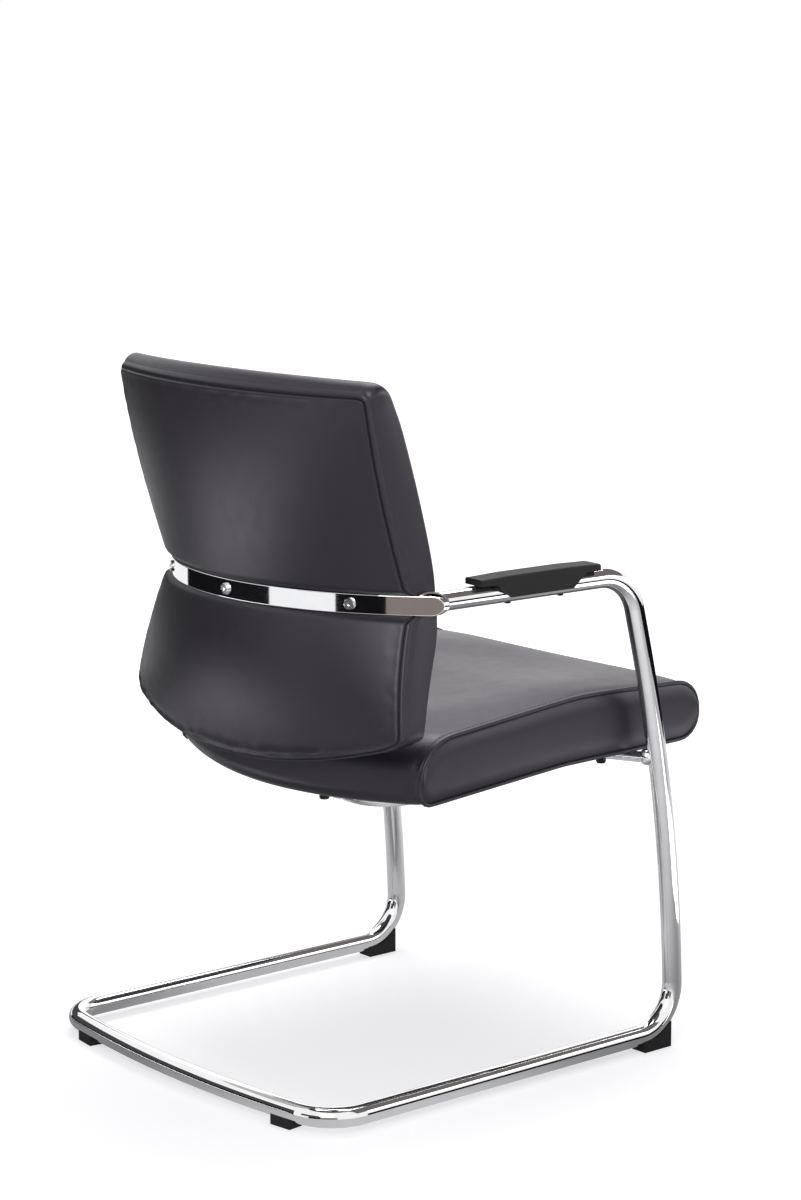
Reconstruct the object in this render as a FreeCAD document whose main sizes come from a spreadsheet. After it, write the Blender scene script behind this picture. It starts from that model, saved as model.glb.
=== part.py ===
import FreeCAD, Part
import math
import os
import Sketcher
from FreeCAD import Placement, Rotation, Vector

# Cantilever conference chair: bent tube frame, curved back band, upholstered seat and back.
# Millimetres. +Z is up, the sitter faces -Y, the chair is symmetric about X = 0 and stands on Z = 0.

DRIVING_SIZES = (
    # Bent tube frame
    ("tube_diameter", 25.0, "outside of the frame tube"),
    ("tube_wall", 2.0, "wall of the frame tube"),
    ("side_spacing", 549.0, "centre to centre of the two side frames"),
    ("floor_gap", 7.4, "floor to the underside of the floor rails"),
    ("base_front", -259.6, "Y of the front floor corners of the tube's centre line"),
    ("base_rear", 301.6, "Y of the rear floor corners of the tube's centre line"),
    ("crossbar_lean", 8.0, "degrees that each half of the rear crossbar leans rearward"),
    ("lower_lean", 2.2, "degrees that the legs lean rearward at the floor"),
    ("upper_lean", 14.8, "degrees that the legs lean rearward below the arms"),
    ("knee_height", 319.0, "height where the two leg directions cross"),
    ("arm_height", 617.5, "height of the arm's centre line at its front bend"),
    ("arm_end_spacing", 502.0, "centre to centre of the arms at the back band"),
    ("arm_end_rise", 4.0, "arm's centre line above the band's at the joint"),
    ("top_bend", 57.0, "bend radius between leg and arm"),
    ("floor_bend", 60.0, "bend radius between leg and floor rail"),
    ("rear_bend", 55.0, "bend radius between floor rail and crossbar"),
    ("weld_gap", 0.1, "gap left between welded pieces"),
    # Back band
    ("band_radius", 350.0, "outside radius of the band in plan"),
    ("band_rear", 241.0, "Y of the band's rear face on the centre line"),
    ("band_thickness", 5.0, "thickness of the band"),
    ("band_width", 24.0, "height of the band's strip"),
    ("band_level", 609.0, "height of the band's centre line"),
    ("band_span", 530.0, "tip to tip of the band"),
    ("band_edge_round", 1.2, "rounding of the band's long edges"),
    # Backrest
    ("leather", 2.0, "thickness of a cover panel"),
    ("layer_gap", 0.2, "gap between neighbouring layers of upholstery"),
    ("back_top", 858.0, "height of the rear top seam"),
    ("back_top_rear", 267.0, "Y of the rear top seam on the centre line"),
    ("back_top_radius", 640.0, "plan radius of the rear top seam"),
    ("back_hem", 398.0, "height where the back's rear profile starts"),
    ("back_hem_rear", 242.0, "Y of the rear profile's start on the centre line"),
    ("back_hem_radius", 736.0, "plan radius of the rear face at the bottom"),
    ("back_lean", 16.0, "degrees that the top panel rises forwards"),
    ("back_tuck", 14.0, "degrees that the underside falls forwards"),
    ("back_top_width", 486.0, "width at the top"),
    ("back_waist_width", 472.0, "width at the band"),
    ("back_hem_width", 528.0, "width between the lower corners"),
    ("back_corner_height", 450.0, "height of the lower corners"),
    ("back_lowest", 407.0, "height of the lower edge on the centre line"),
    ("back_corner_round", 14.0, "rounding of the lower corners in the front view"),
    ("waist_middle_thickness", 50.0, "thickness behind the band on the centre line"),
    ("waist_side_thickness", 28.0, "thickness behind the band towards the lower corners"),
    ("top_middle_thickness", 46.0, "depth of the top panel on the centre line"),
    ("top_side_thickness", 27.0, "depth of the top panel at the sides"),
    ("hem_middle_thickness", 40.0, "depth of the underside on the centre line"),
    ("hem_side_thickness", 36.0, "depth of the underside at the sides"),
    ("rear_upper_crown", 8.0, "rearward crown of the upper half"),
    ("rear_lower_crown", 15.0, "rearward crown of the lower half"),
    ("front_upper_crown", 11.0, "forward crown of the upper half"),
    ("front_lower_crown", 4.0, "forward crown of the lower half"),
    ("top_middle_crown", 15.0, "upward crown of the top panel on the centre line"),
    ("top_side_crown", 7.0, "upward crown of the top panel at the sides"),
    ("lumbar_height", 60.0, "height of the rounded lumbar stretch of the front"),
    ("lumbar_crown", 2.5, "forward crown of that stretch"),
    ("pinch_middle", 4.0, "how far the cover stands out above and below the band in the middle"),
    ("pinch_side", 20.0, "how far it stands out there towards the lower corners"),
    ("pinch_height", 12.0, "height over which the cover draws in to the band"),
    ("band_clearance", 0.2, "gap between the band and the cover behind it"),
    ("band_valley", 26.0, "height of the valley that the band lies in"),
    ("padding", 6.0, "thin padding behind the back's board"),
    ("board", 12.0, "thickness of the moulded plywood boards"),
    # Seat
    ("seat_width", 480.0, "width over the piping's seams"),
    ("nose_front", -331.0, "Y of the front at the sides"),
    ("nose_bow", 8.0, "how much further forward the middle of the front is"),
    ("nose_top", 460.0, "height of the top's front corner"),
    ("nose_bottom", 386.0, "height of the bottom's front corner"),
    ("nose_top_round", 38.0, "upper rounding of the front"),
    ("nose_bottom_round", 33.0, "lower rounding of the front"),
    ("crest_set", -123.0, "Y of the highest line of the side outline"),
    ("crest_height", 466.0, "height of that line"),
    ("crest_round", 500.0, "rounding there"),
    ("tail_top_set", 131.0, "Y of the rear upper corner at the sides"),
    ("tail_top", 441.0, "height of the rear upper corner"),
    ("tail_top_bow", 46.0, "how much further back that corner is in the middle"),
    ("tail_top_round", 52.0, "rounding there"),
    ("tail_bottom_set", 135.0, "Y of the rear lower corner at the sides"),
    ("tail_bottom", 364.0, "height of the rear lower corner"),
    ("tail_bottom_bow", 60.0, "how much further back that corner is in the middle"),
    ("tail_bottom_round", 12.0, "rounding there"),
    ("belly_set", -95.0, "Y where the underside bends"),
    ("belly_height", 382.0, "height of that bend at the sides"),
    ("belly_bow", 7.0, "how much higher that bend is in the middle"),
    ("belly_round", 300.0, "rounding there"),
    ("seat_ridge", 12.0, "rise of the soft ridge inside each side seam"),
    ("seat_dish", 8.0, "depth of the dish in the middle"),
    ("piping_diameter", 5.0, "piping between main cover and side panel"),
    ("piping_proud", 0.8, "how far the piping stands out of the outline"),
    ("side_panel", 5.0, "thickness of the crowned side panel"),
    ("side_panel_draw", 6.0, "how far the side panel's face draws in"),
    ("board_front_set", 40.0, "board's front edge behind the seat's front"),
    ("board_rear_set", 26.0, "board's rear edge ahead of the seat's rear lower corner"),
    ("board_side_set", 24.0, "board's side edge inside the seat's side"),
    # Seat support
    ("support_diameter", 14.0, "outside of the support tube"),
    ("support_wall", 2.0, "wall of the support tube"),
    ("support_joint", 379.0, "height where the support meets the legs"),
    ("support_setback", 12.0, "support's run behind the leg's centre line"),
    ("support_end_set", 6.0, "support's ends inside the leg's centre line"),
    ("weld_radius", 11.0, "rounded weld that closes each end of the support"),
    ("support_front_spacing", 300.0, "spacing of the support's front corners"),
    ("support_rear_spacing", 354.0, "spacing of the support's rear corners"),
    ("support_front_height", 366.5, "height of the front corners"),
    ("support_rear_height", 354.0, "height of the rear run"),
    ("support_rear", 137.0, "Y of the rear run"),
    ("support_front_bend", 28.0, "bend radius at the front corners"),
    ("support_rear_bend", 55.0, "bend radius at the rear corners"),
    # Spacers and seat bolts
    ("front_bolt_spacing", 370.0, "spacing of the front seat bolts"),
    ("rear_bolt_spacing", 118.0, "spacing of the rear seat bolts"),
    ("front_spacer_length", 78.0, "front spacers along the support's run"),
    ("rear_spacer_length", 40.0, "rear spacers along the support's run"),
    ("spacer_width", 12.0, "spacers across the support's run"),
    ("spacer_foot", 1.0, "underside of the spacers above the support's centre line"),
    ("bolt_diameter", 6.0, "shank of seat bolts and back screws"),
    ("bolt_head", 13.0, "head of the seat bolts"),
    ("bolt_head_height", 5.0, "height of that head"),
    ("hole_clearance", 0.2, "radial room round shanks and nuts"),
    ("nut_barrel", 9.0, "barrel of the tee nuts"),
    ("nut_flange", 19.0, "flange of the tee nuts"),
    ("nut_flange_thickness", 1.4, "thickness of that flange"),
    ("nut_length", 9.5, "length of the tee nuts"),
    ("seat_bolt_length", 34.0, "seat bolts below their heads"),
    ("back_screw_length", 20.0, "back screws below their heads"),
    # Back screws
    ("screw_spread", 30.6, "degrees between neighbouring back screws about the band's centre"),
    ("screw_head", 14.0, "head of the back screws"),
    ("screw_head_height", 3.6, "height of that head"),
    # Arm pads
    ("pad_length", 180.0, "arm pad along the arm"),
    ("pad_width", 34.0, "arm pad across the arm"),
    ("pad_middle", 146.0, "distance of the pad's middle behind the front bend's corner"),
    ("pad_slab", 10.0, "thickness of the pad's overhanging ends"),
    ("pad_rise", 0.6, "underside of the ends above the tube"),
    ("pad_crown", 2.0, "lengthwise crown of the pad's top"),
    ("skirt_drop", 4.0, "skirt below the tube's centre line"),
    ("skirt_rear", 66.0, "where the rear cut of the skirt starts"),
    ("skirt_front", 68.0, "where the front cut of the skirt starts"),
    ("skirt_cut", 20.0, "length of the skirt's slanted cuts"),
    ("pad_round", 3.0, "rounding of the pad's upper edges"),
    ("pad_clearance", 0.15, "gap between pad and tube"),
    ("pad_screw_spacing", 80.0, "spacing of the screws under each arm"),
    ("pad_screw", 5.0, "shank of those screws"),
    ("pad_screw_head", 8.0, "head of those screws"),
    ("pad_screw_head_height", 1.6, "height of that head"),
    ("pad_screw_bite", 6.0, "length of the screw inside the pad"),
    # Glides
    ("glide_width", 24.0, "width of the front glides"),
    ("front_glide_length", 46.0, "front glides along the rail"),
    ("front_glide_height", 33.0, "front face of the front glides"),
    ("front_glide_lead", 14.0, "front face behind the leg's centre line at the floor"),
    ("rear_glide_length", 32.0, "rear glides along the crossbar"),
    ("rear_glide_width", 21.0, "rear glides across the crossbar"),
    ("rear_glide_height", 14.0, "height of the rear glides' cheeks"),
    ("rear_glide_spacing", 406.0, "spacing of the rear glides"),
    ("glide_clearance", 0.1, "gap between glide and tube"),
    ("glide_screw", 4.0, "shank of the glide screws"),
    ("glide_screw_head", 8.0, "head of the glide screws"),
    ("glide_screw_head_height", 2.0, "height of that head"),
    ("glide_screw_recess", 2.4, "depth of that head's recess under the glide"),
)

# A bend that takes the whole run leaves this share of it curved.
BOW_SHARE = 0.985
# Share of the seat's half width at each lengthwise section of the seat, from the middle out.
SEAT_STATIONS = (-1.0, -0.86, -0.62, -0.32, 0.0, 0.32, 0.62, 0.86, 1.0)
# Share of the back's half width at each upright section, past the widest outline on both sides.
BACK_STATIONS = (-1.04, -0.88, -0.68, -0.46, -0.23, 0.0, 0.23, 0.46, 0.68, 0.88, 1.04)
# Button heads, as shares of their height or width: rim, flat of the dome, socket.
HEAD_RIM = 0.6
HEAD_FLAT = 0.41
SOCKET_WIDTH = 0.33
SOCKET_DEPTH = 0.6
# Longer than any piece, for tools that cut right through.
FAR = 1200.0

document = FreeCAD.newDocument("cantilever_chair")
sheet = document.addObject("Spreadsheet::Sheet", "Sizes")
for row, (name, value, meaning) in enumerate(DRIVING_SIZES, start=1):
    sheet.set("A%d" % row, meaning)
    sheet.set("B%d" % row, str(value))
    sheet.setAlias("B%d" % row, name)
document.recompute()

pieces = []


def size(name):
    return float(sheet.get(name))


def keep(item, label):
    """Hand the object in as the sub-part of that name."""
    item.Label = label
    pieces.append(item)
    return item


def shape_object(name, shape):
    item = document.addObject("Part::Feature", name)
    item.Shape = shape
    return item


def cut_object(name, base, tool):
    item = document.addObject("Part::Cut", name)
    item.Base = base
    item.Tool = tool
    document.recompute()
    return item


def mirrored(shape):
    return shape.mirror(Vector(0, 0, 0), Vector(1, 0, 0))


# Paths and tubes


def rounded_path(points, bends):
    """Straight runs through the points with tangent arcs; a bend of None is as wide as its runs allow."""
    last = len(points) - 1
    turns = [0.0] * len(points)
    reach = [0.0] * len(points)
    for index in range(1, last):
        arriving = points[index] - points[index - 1]
        leaving = points[index + 1] - points[index]
        turns[index] = arriving.getAngle(leaving)
        if bends[index] is not None:
            reach[index] = bends[index] * math.tan(turns[index] / 2)
    for index in range(1, last):
        if bends[index] is None:
            room_before = (points[index] - points[index - 1]).Length - reach[index - 1]
            room_after = (points[index + 1] - points[index]).Length - reach[index + 1]
            reach[index] = BOW_SHARE * min(room_before, room_after)
    edges = []
    start = points[0]
    for index in range(1, last):
        corner = points[index]
        towards = (points[index - 1] - corner).normalize()
        away = (points[index + 1] - corner).normalize()
        radius = reach[index] / math.tan(turns[index] / 2)
        middle = corner + (towards + away).normalize() * (radius / math.cos(turns[index] / 2) - radius)
        entry = corner + towards * reach[index]
        leave = corner + away * reach[index]
        edges.append(Part.LineSegment(start, entry).toShape())
        edges.append(Part.Arc(entry, middle, leave).toShape())
        start = leave
    edges.append(Part.LineSegment(start, points[last]).toShape())
    return Part.Wire(edges)


def rod(name, path, radius_expression):
    """A round bar along the path, its radius bound to the sheet."""
    first = path.Edges[0]
    along = first.tangentAt(first.FirstParameter)
    circle = document.addObject("Part::Circle", name + "_section")
    circle.setExpression("Radius", radius_expression)
    circle.Placement = Placement(path.Vertexes[0].Point, Rotation(Vector(0, 0, 1), along))
    spine = shape_object(name + "_path", path)
    sweep = document.addObject("Part::Sweep", name)
    sweep.Sections = [circle]
    sweep.Spine = (spine, ["Edge%d" % number for number in range(1, len(path.Edges) + 1)])
    sweep.Solid = True
    sweep.Frenet = False
    document.recompute()
    return sweep


def upright_hole(place, radius, low, high):
    return Part.makeCylinder(radius, high - low, Vector(place.x, place.y, low))


# Sketches


def origin_plane(body, role):
    return [feature for feature in body.Origin.OriginFeatures if feature.Role == role][0]


def polygon_sketch(body, name, role, corners):
    """Closed outline whose corners are expressions of the sheet's sizes."""
    sketch = body.newObject("Sketcher::SketchObject", name)
    sketch.AttachmentSupport = [(origin_plane(body, role), "")]
    sketch.MapMode = "FlatFace"
    points = [Vector(*[float(sketch.evalExpression(term)) for term in corner], 0) for corner in corners]
    count = len(points)
    for index in range(count):
        sketch.addGeometry(Part.LineSegment(points[index], points[(index + 1) % count]), False)
    for index in range(count):
        sketch.addConstraint(Sketcher.Constraint("Coincident", index, 2, (index + 1) % count, 1))
    for index, corner in enumerate(corners):
        for kind, term, value in zip(("DistanceX", "DistanceY"), corner, points[index]):
            number = sketch.addConstraint(Sketcher.Constraint(kind, -1, 1, index, 1, value))
            sketch.setExpression("Constraints[%d]" % number, term)
    document.recompute()
    return sketch


def padded_body(name, role, corners, width_expression):
    body = document.addObject("PartDesign::Body", name)
    sketch = polygon_sketch(body, name + "_outline", role, corners)
    pad = body.newObject("PartDesign::Pad", name + "_pad")
    pad.Profile = sketch
    pad.SideType = "Symmetric"
    pad.setExpression("Length", width_expression)
    document.recompute()
    return body


def turned_body(name, corners):
    """A body turned about its own Z axis."""
    body = document.addObject("PartDesign::Body", name)
    sketch = polygon_sketch(body, name + "_half", "XZ_Plane", corners)
    turning = body.newObject("PartDesign::Revolution", name + "_turning")
    turning.Profile = sketch
    turning.ReferenceAxis = (sketch, ["V_Axis"])
    turning.Angle = 360
    document.recompute()
    return body


def screw_body(name, head, head_height, shank, length):
    """Button screw along -Z with its head's seat at Z = 0 and a hexagon socket."""
    half_head = "Sizes.%s / 2" % head
    half_shank = "Sizes.%s / 2" % shank
    body = turned_body(name, (
        ("0", "-(%s)" % length),
        (half_shank, "-(%s)" % length),
        (half_shank, "0"),
        (half_head, "0"),
        (half_head, "Sizes.%s * %s" % (head_height, HEAD_RIM)),
        ("Sizes.%s * %s" % (head, HEAD_FLAT), "Sizes.%s" % head_height),
        ("0", "Sizes.%s" % head_height),
    ))
    socket_width = "Sizes.%s * %s" % (head, SOCKET_WIDTH)
    corner = socket_width + " / sqrt(3)"
    flat = socket_width + " / 2"
    half_corner = corner + " / 2"
    socket = polygon_sketch(body, name + "_socket", "XY_Plane", (
        (corner, "0"),
        (half_corner, flat),
        ("-" + half_corner, flat),
        ("-" + corner, "0"),
        ("-" + half_corner, "-" + flat),
        (half_corner, "-" + flat),
    ))
    socket.setExpression("AttachmentOffset.Base.z", "Sizes.%s" % head_height)
    pocket = body.newObject("PartDesign::Pocket", name + "_socket_cut")
    pocket.Profile = socket
    pocket.setExpression("Length", "Sizes.%s * %s" % (head_height, SOCKET_DEPTH))
    document.recompute()
    return body


def nut_body(name):
    """Tee nut along Z: barrel below its flange, the flange's face at Z = 0."""
    return turned_body(name, (
        ("Sizes.bolt_diameter / 2 + Sizes.hole_clearance", "-Sizes.nut_length"),
        ("Sizes.nut_barrel / 2", "-Sizes.nut_length"),
        ("Sizes.nut_barrel / 2", "-Sizes.nut_flange_thickness"),
        ("Sizes.nut_flange / 2", "-Sizes.nut_flange_thickness"),
        ("Sizes.nut_flange / 2", "0"),
        ("Sizes.bolt_diameter / 2 + Sizes.hole_clearance", "0"),
    ))


def placed_group(label, body, placements):
    """Identical fasteners share one sub-part, each a solid of its own."""
    copies = []
    for placement in placements:
        copy = body.Shape.copy()
        copy.Placement = placement.multiply(copy.Placement)
        copies.append(copy)
    return keep(shape_object(label, Part.makeCompound(copies)), label)


# Centre lines of the frame

half_side = size("side_spacing") / 2
tube_radius = size("tube_diameter") / 2
rail_height = size("floor_gap") + tube_radius
band_centre = Vector(0, size("band_rear") - size("band_radius"), size("band_level"))
band_inside = size("band_radius") - size("band_thickness")
half_arm_end = size("arm_end_spacing") / 2


def frame_corners():
    """Corners of one side's centre line, from the arm's end to the rear floor corner."""
    front_floor = Vector(half_side, size("base_front"), rail_height)
    knee_rise = size("knee_height") - rail_height
    knee = front_floor + Vector(0, knee_rise * math.tan(math.radians(size("lower_lean"))), knee_rise)
    arm_rise = size("arm_height") - size("knee_height")
    arm_front = knee + Vector(0, arm_rise * math.tan(math.radians(size("upper_lean"))), arm_rise)
    arm_end_y = band_centre.y + math.sqrt(band_inside ** 2 - half_arm_end ** 2)
    arm_end = Vector(half_arm_end, arm_end_y, size("band_level") + size("arm_end_rise"))
    rear_floor = Vector(half_side, size("base_rear"), rail_height)
    return arm_end, arm_front, knee, front_floor, rear_floor


arm_end, arm_front, knee, front_floor, rear_floor = frame_corners()
arm_direction = (arm_end - arm_front).normalize()
crossbar_rise = half_side * math.tan(math.radians(size("crossbar_lean")))
crossbar_middle = Vector(0, size("base_rear") + crossbar_rise, rail_height)
# The tube runs a little past the band's face and is then trimmed by it.
arm_overrun = arm_end + arm_direction * size("tube_diameter")


def flipped(point):
    return Vector(-point.x, point.y, point.z)


side_points = [arm_overrun, arm_front, knee, front_floor, rear_floor]
side_bends = [None, size("top_bend"), None, size("floor_bend"), size("rear_bend")]
frame_path = rounded_path(
    side_points + [crossbar_middle] + [flipped(point) for point in reversed(side_points)],
    side_bends + [None] + list(reversed(side_bends)),
)


def path_point_at_height(path, height):
    """Where the left leg's centre line crosses a height."""
    level = Part.makePlane(2 * FAR, 2 * FAR, Vector(-FAR, -FAR, height))
    crossings = [vertex.Point for vertex in path.section(level).Vertexes]
    return max(crossings, key=lambda point: point.x)


support_leg = path_point_at_height(frame_path, size("support_joint"))
support_joint = support_leg + Vector(-size("support_end_set"), size("support_setback"), 0)
support_front = Vector(size("support_front_spacing") / 2, support_joint.y, size("support_front_height"))
support_rear = Vector(size("support_rear_spacing") / 2, size("support_rear"), size("support_rear_height"))
support_points = [support_joint, support_front, support_rear]
support_bends = [None, size("support_front_bend"), size("support_rear_bend")]
support_path = rounded_path(
    support_points + [flipped(point) for point in reversed(support_points)],
    support_bends + list(reversed(support_bends)),
)

# Places of the fasteners


def on_run(start, end, x):
    return start + (end - start) * ((x - start.x) / (end.x - start.x))


run_slope = abs((support_joint.z - support_front.z) / (support_joint.x - support_front.x))
seat_bolt_places = []
for sign in (1, -1):
    front_place = on_run(support_joint, support_front, size("front_bolt_spacing") / 2)
    rear_place = Vector(size("rear_bolt_spacing") / 2, size("support_rear"), size("support_rear_height"))
    for place in (front_place, rear_place):
        seat_bolt_places.append(Vector(sign * place.x, place.y, place.z))

pad_middle = arm_front + arm_direction * size("pad_middle")
pad_side = Vector(0, 0, 1).cross(arm_direction).normalize()
pad_up = arm_direction.cross(pad_side)
arm_frame = Placement(pad_middle, Rotation(arm_direction, pad_side, pad_up, "XZY"))
pad_screw_places = []
for along in (-size("pad_screw_spacing") / 2, size("pad_screw_spacing") / 2):
    pad_screw_places.append(arm_frame.multVec(Vector(along, 0, -tube_radius)))

front_glide_front = front_floor.y + size("front_glide_lead")
front_glide_middle = Vector(half_side, front_glide_front + size("front_glide_length") / 2, 0)
half_glides = size("rear_glide_spacing") / 2
crossbar_edge = [edge for edge in frame_path.Edges if abs(edge.CenterOfMass.x) < 1][0]
bow_radius = crossbar_edge.Curve.Radius
bow_centre = crossbar_edge.Curve.Center
rear_glide_turn = -math.degrees(math.asin(half_glides / bow_radius))
rear_glide_y = bow_centre.y + math.sqrt(bow_radius ** 2 - half_glides ** 2)
rear_glide_middle = Vector(half_glides, rear_glide_y, 0)
glide_places = []
for sign in (1, -1):
    for place in (front_glide_middle + Vector(0, size("front_glide_length") / 4, 0), rear_glide_middle):
        glide_places.append(Vector(sign * place.x, place.y, 0))

back_screw_turns = (-size("screw_spread"), 0.0, size("screw_spread"))


def radial_placement(turn, radius):
    """Z points outwards along the band's radius, turned from the centre line."""
    outward = Vector(-math.sin(math.radians(turn)), math.cos(math.radians(turn)), 0)
    return Placement(band_centre + outward * radius, Rotation(Vector(0, 0, 1), outward))


def radial_hole(turn, hole_radius, inner, outer):
    hole = Part.makeCylinder(hole_radius, outer - inner)
    hole.Placement = radial_placement(turn, inner)
    return hole


# Frame tube

frame_outside = rod("frame_outside", frame_path, "Sizes.tube_diameter / 2")
frame_bore = rod("frame_bore", frame_path, "Sizes.tube_diameter / 2 - Sizes.tube_wall")
frame_hollow = cut_object("frame_hollow", frame_outside, frame_bore)
band_face = document.addObject("Part::Cylinder", "band_face")
band_face.setExpression("Radius", "Sizes.band_radius - Sizes.band_thickness - Sizes.weld_gap")
band_face.setExpression("Height", "Sizes.band_width * 4")
band_face.Placement = Placement(band_centre - Vector(0, 0, 2 * size("band_width")), Rotation())
trim_block = document.addObject("Part::Box", "trim_block")
trim_block.setExpression("Length", "Sizes.band_radius * 3")
trim_block.setExpression("Width", "Sizes.band_radius * 2")
trim_block.setExpression("Height", "Sizes.band_width * 4")
trim_block.Placement = Placement(
    band_centre - Vector(1.5 * size("band_radius"), 0, 2 * size("band_width")), Rotation())
arm_trim = cut_object("arm_trim", trim_block, band_face)
frame_trimmed = cut_object("frame_trimmed", frame_hollow, arm_trim)

frame_holes = []
for place in pad_screw_places:
    hole = Part.makeCylinder(size("pad_screw") / 2 + size("hole_clearance"), 2 * size("tube_diameter"))
    hole.Placement = Placement(place - pad_up * tube_radius, Rotation(Vector(0, 0, 1), pad_up))
    frame_holes += [hole, mirrored(hole)]
for place in glide_places:
    frame_holes.append(upright_hole(place, size("glide_screw") / 2 + size("hole_clearance"), 0, rail_height))
frame_drill = shape_object("frame_drill", Part.makeCompound(frame_holes))
keep(cut_object("frame_tube", frame_trimmed, frame_drill), "frame_tube")

# Back band


def cylinder(name, radius_expression, height_expression, placement):
    item = document.addObject("Part::Cylinder", name)
    item.setExpression("Radius", radius_expression)
    item.setExpression("Height", height_expression)
    item.Placement = placement
    return item


def band_strip():
    """Ring cut out by a round-ended outline in the front view."""
    ring_foot = Placement(band_centre - Vector(0, 0, size("band_width")), Rotation())
    outer = cylinder("band_outer", "Sizes.band_radius", "Sizes.band_width * 2", ring_foot)
    inner = cylinder("band_inner", "Sizes.band_radius - Sizes.band_thickness", "Sizes.band_width * 2",
                     ring_foot)
    ring = cut_object("band_ring", outer, inner)
    half_straight = (size("band_span") - size("band_width")) / 2
    middle = document.addObject("Part::Box", "band_middle")
    middle.setExpression("Length", "Sizes.band_span - Sizes.band_width")
    middle.setExpression("Width", "Sizes.band_radius * 2")
    middle.setExpression("Height", "Sizes.band_width")
    middle.Placement = Placement(band_centre - Vector(half_straight, 0, size("band_width") / 2), Rotation())
    outline = [middle]
    for sign in (1, -1):
        tip = Placement(band_centre + Vector(sign * half_straight, 0, 0), Rotation(Vector(1, 0, 0), -90))
        outline.append(cylinder("band_tip", "Sizes.band_width / 2", "Sizes.band_radius * 2", tip))
    fused = document.addObject("Part::MultiFuse", "band_outline")
    fused.Shapes = outline
    fused.Refine = True
    strip = document.addObject("Part::Common", "band_strip")
    strip.Base = ring
    strip.Tool = fused
    document.recompute()
    return strip.Shape.Solids[0]


def rear_edges_of(strip):
    """Edges round the outer face of the band."""
    radius = size("band_radius")
    edges = []
    for edge in strip.Edges:
        middle = edge.valueAt((edge.FirstParameter + edge.LastParameter) / 2) - band_centre
        along = edge.tangentAt((edge.FirstParameter + edge.LastParameter) / 2)
        outside = abs(math.hypot(middle.x, middle.y) - radius) < layer_gap
        radial = abs(along.dot(Vector(middle.x, middle.y, 0).normalize())) > 0.9
        if outside and not radial:
            edges.append(edge)
    return edges


layer_gap = size("layer_gap")
band = band_strip()
band = band.makeFillet(size("band_edge_round"), rear_edges_of(band))
bolt_hole = size("bolt_diameter") / 2 + size("hole_clearance")
for turn in back_screw_turns:
    band = band.cut(radial_hole(turn, bolt_hole, band_inside - size("band_thickness"),
                                size("band_radius") + size("band_thickness")))
keep(shape_object("back_band", band), "back_band")

# Seat outline


def bowed(share, amount):
    """Full amount in the middle, none at the sides."""
    return amount * (1 - share ** 2)


def seat_top_lift(share):
    """Soft ridge inside each side seam and a dish in the middle."""
    ridge = size("seat_ridge") * math.sin(math.pi * share ** 2)
    return ridge - size("seat_dish") * (1 - share ** 2) ** 2


def seat_corners(share, belly_round):
    """Corners of the seat's upright outline as (Y, Z, rounding), clockwise from the upper front one."""
    front = size("nose_front") - bowed(share, size("nose_bow"))
    lift = seat_top_lift(share)
    return (
        (front, size("nose_top"), size("nose_top_round")),
        (size("crest_set"), size("crest_height") + lift, size("crest_round")),
        (size("tail_top_set") + bowed(share, size("tail_top_bow")), size("tail_top"),
         size("tail_top_round")),
        (size("tail_bottom_set") + bowed(share, size("tail_bottom_bow")), size("tail_bottom"),
         size("tail_bottom_round")),
        (size("belly_set"), size("belly_height") + bowed(share, size("belly_bow")), belly_round),
        (front, size("nose_bottom"), size("nose_bottom_round")),
    )


def moved_outline(corners, insets):
    """Corners of the outline with each side moved inwards; side n runs from corner n to the next."""
    count = len(corners)
    lines = []
    for index in range(count):
        start = Vector(corners[index][0], corners[index][1], 0)
        end = Vector(corners[(index + 1) % count][0], corners[(index + 1) % count][1], 0)
        along = (end - start).normalize()
        lines.append((start + Vector(along.y, -along.x, 0) * insets[index], along))
    moved = []
    for index in range(count):
        point, along = lines[index - 1]
        other_point, other_along = lines[index]
        scale = along.x * other_along.y - along.y * other_along.x
        offset = other_point - point
        step = (offset.x * other_along.y - offset.y * other_along.x) / scale
        inset = max(insets[index - 1], insets[index])
        rounding = corners[index][2] - inset if scale < 0 else corners[index][2] + inset
        moved.append((point + along * step, max(rounding, layer_gap)))
    return moved


def rounded_outline(corners, insets, x):
    """Closed upright wire of lines and tangent arcs at the given X."""
    moved = moved_outline(corners, insets)
    count = len(moved)
    arcs = []
    for index in range(count):
        corner, rounding = moved[index]
        towards = (moved[index - 1][0] - corner).normalize()
        away = (moved[(index + 1) % count][0] - corner).normalize()
        turn = math.pi - towards.getAngle(away)
        reach = rounding * math.tan(turn / 2)
        middle = corner + (towards + away).normalize() * (rounding / math.cos(turn / 2) - rounding)
        arcs.append([Vector(x, point.x, point.y)
                     for point in (corner + towards * reach, middle, corner + away * reach)])
    edges = []
    for index in range(count):
        edges.append(Part.Arc(*arcs[index]).toShape())
        edges.append(Part.LineSegment(arcs[index][2], arcs[(index + 1) % count][0]).toShape())
    return Part.Wire(edges)


def seat_form(insets, belly_round):
    """Smooth form through the seat's outlines from side to side."""
    wires = []
    for station in SEAT_STATIONS:
        corners = seat_corners(station, belly_round)
        wires.append(rounded_outline(corners, insets, station * size("seat_width") / 2))
    return Part.makeLoft(wires, True, False)


SEAT_SIDES = 6
half_seat = size("seat_width") / 2
leather = size("leather")
cover_half = half_seat - leather
belly_round = size("belly_round")
seat_outside = seat_form([0.0] * SEAT_SIDES, belly_round)

# Seat support tube, welded to the legs

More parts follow.
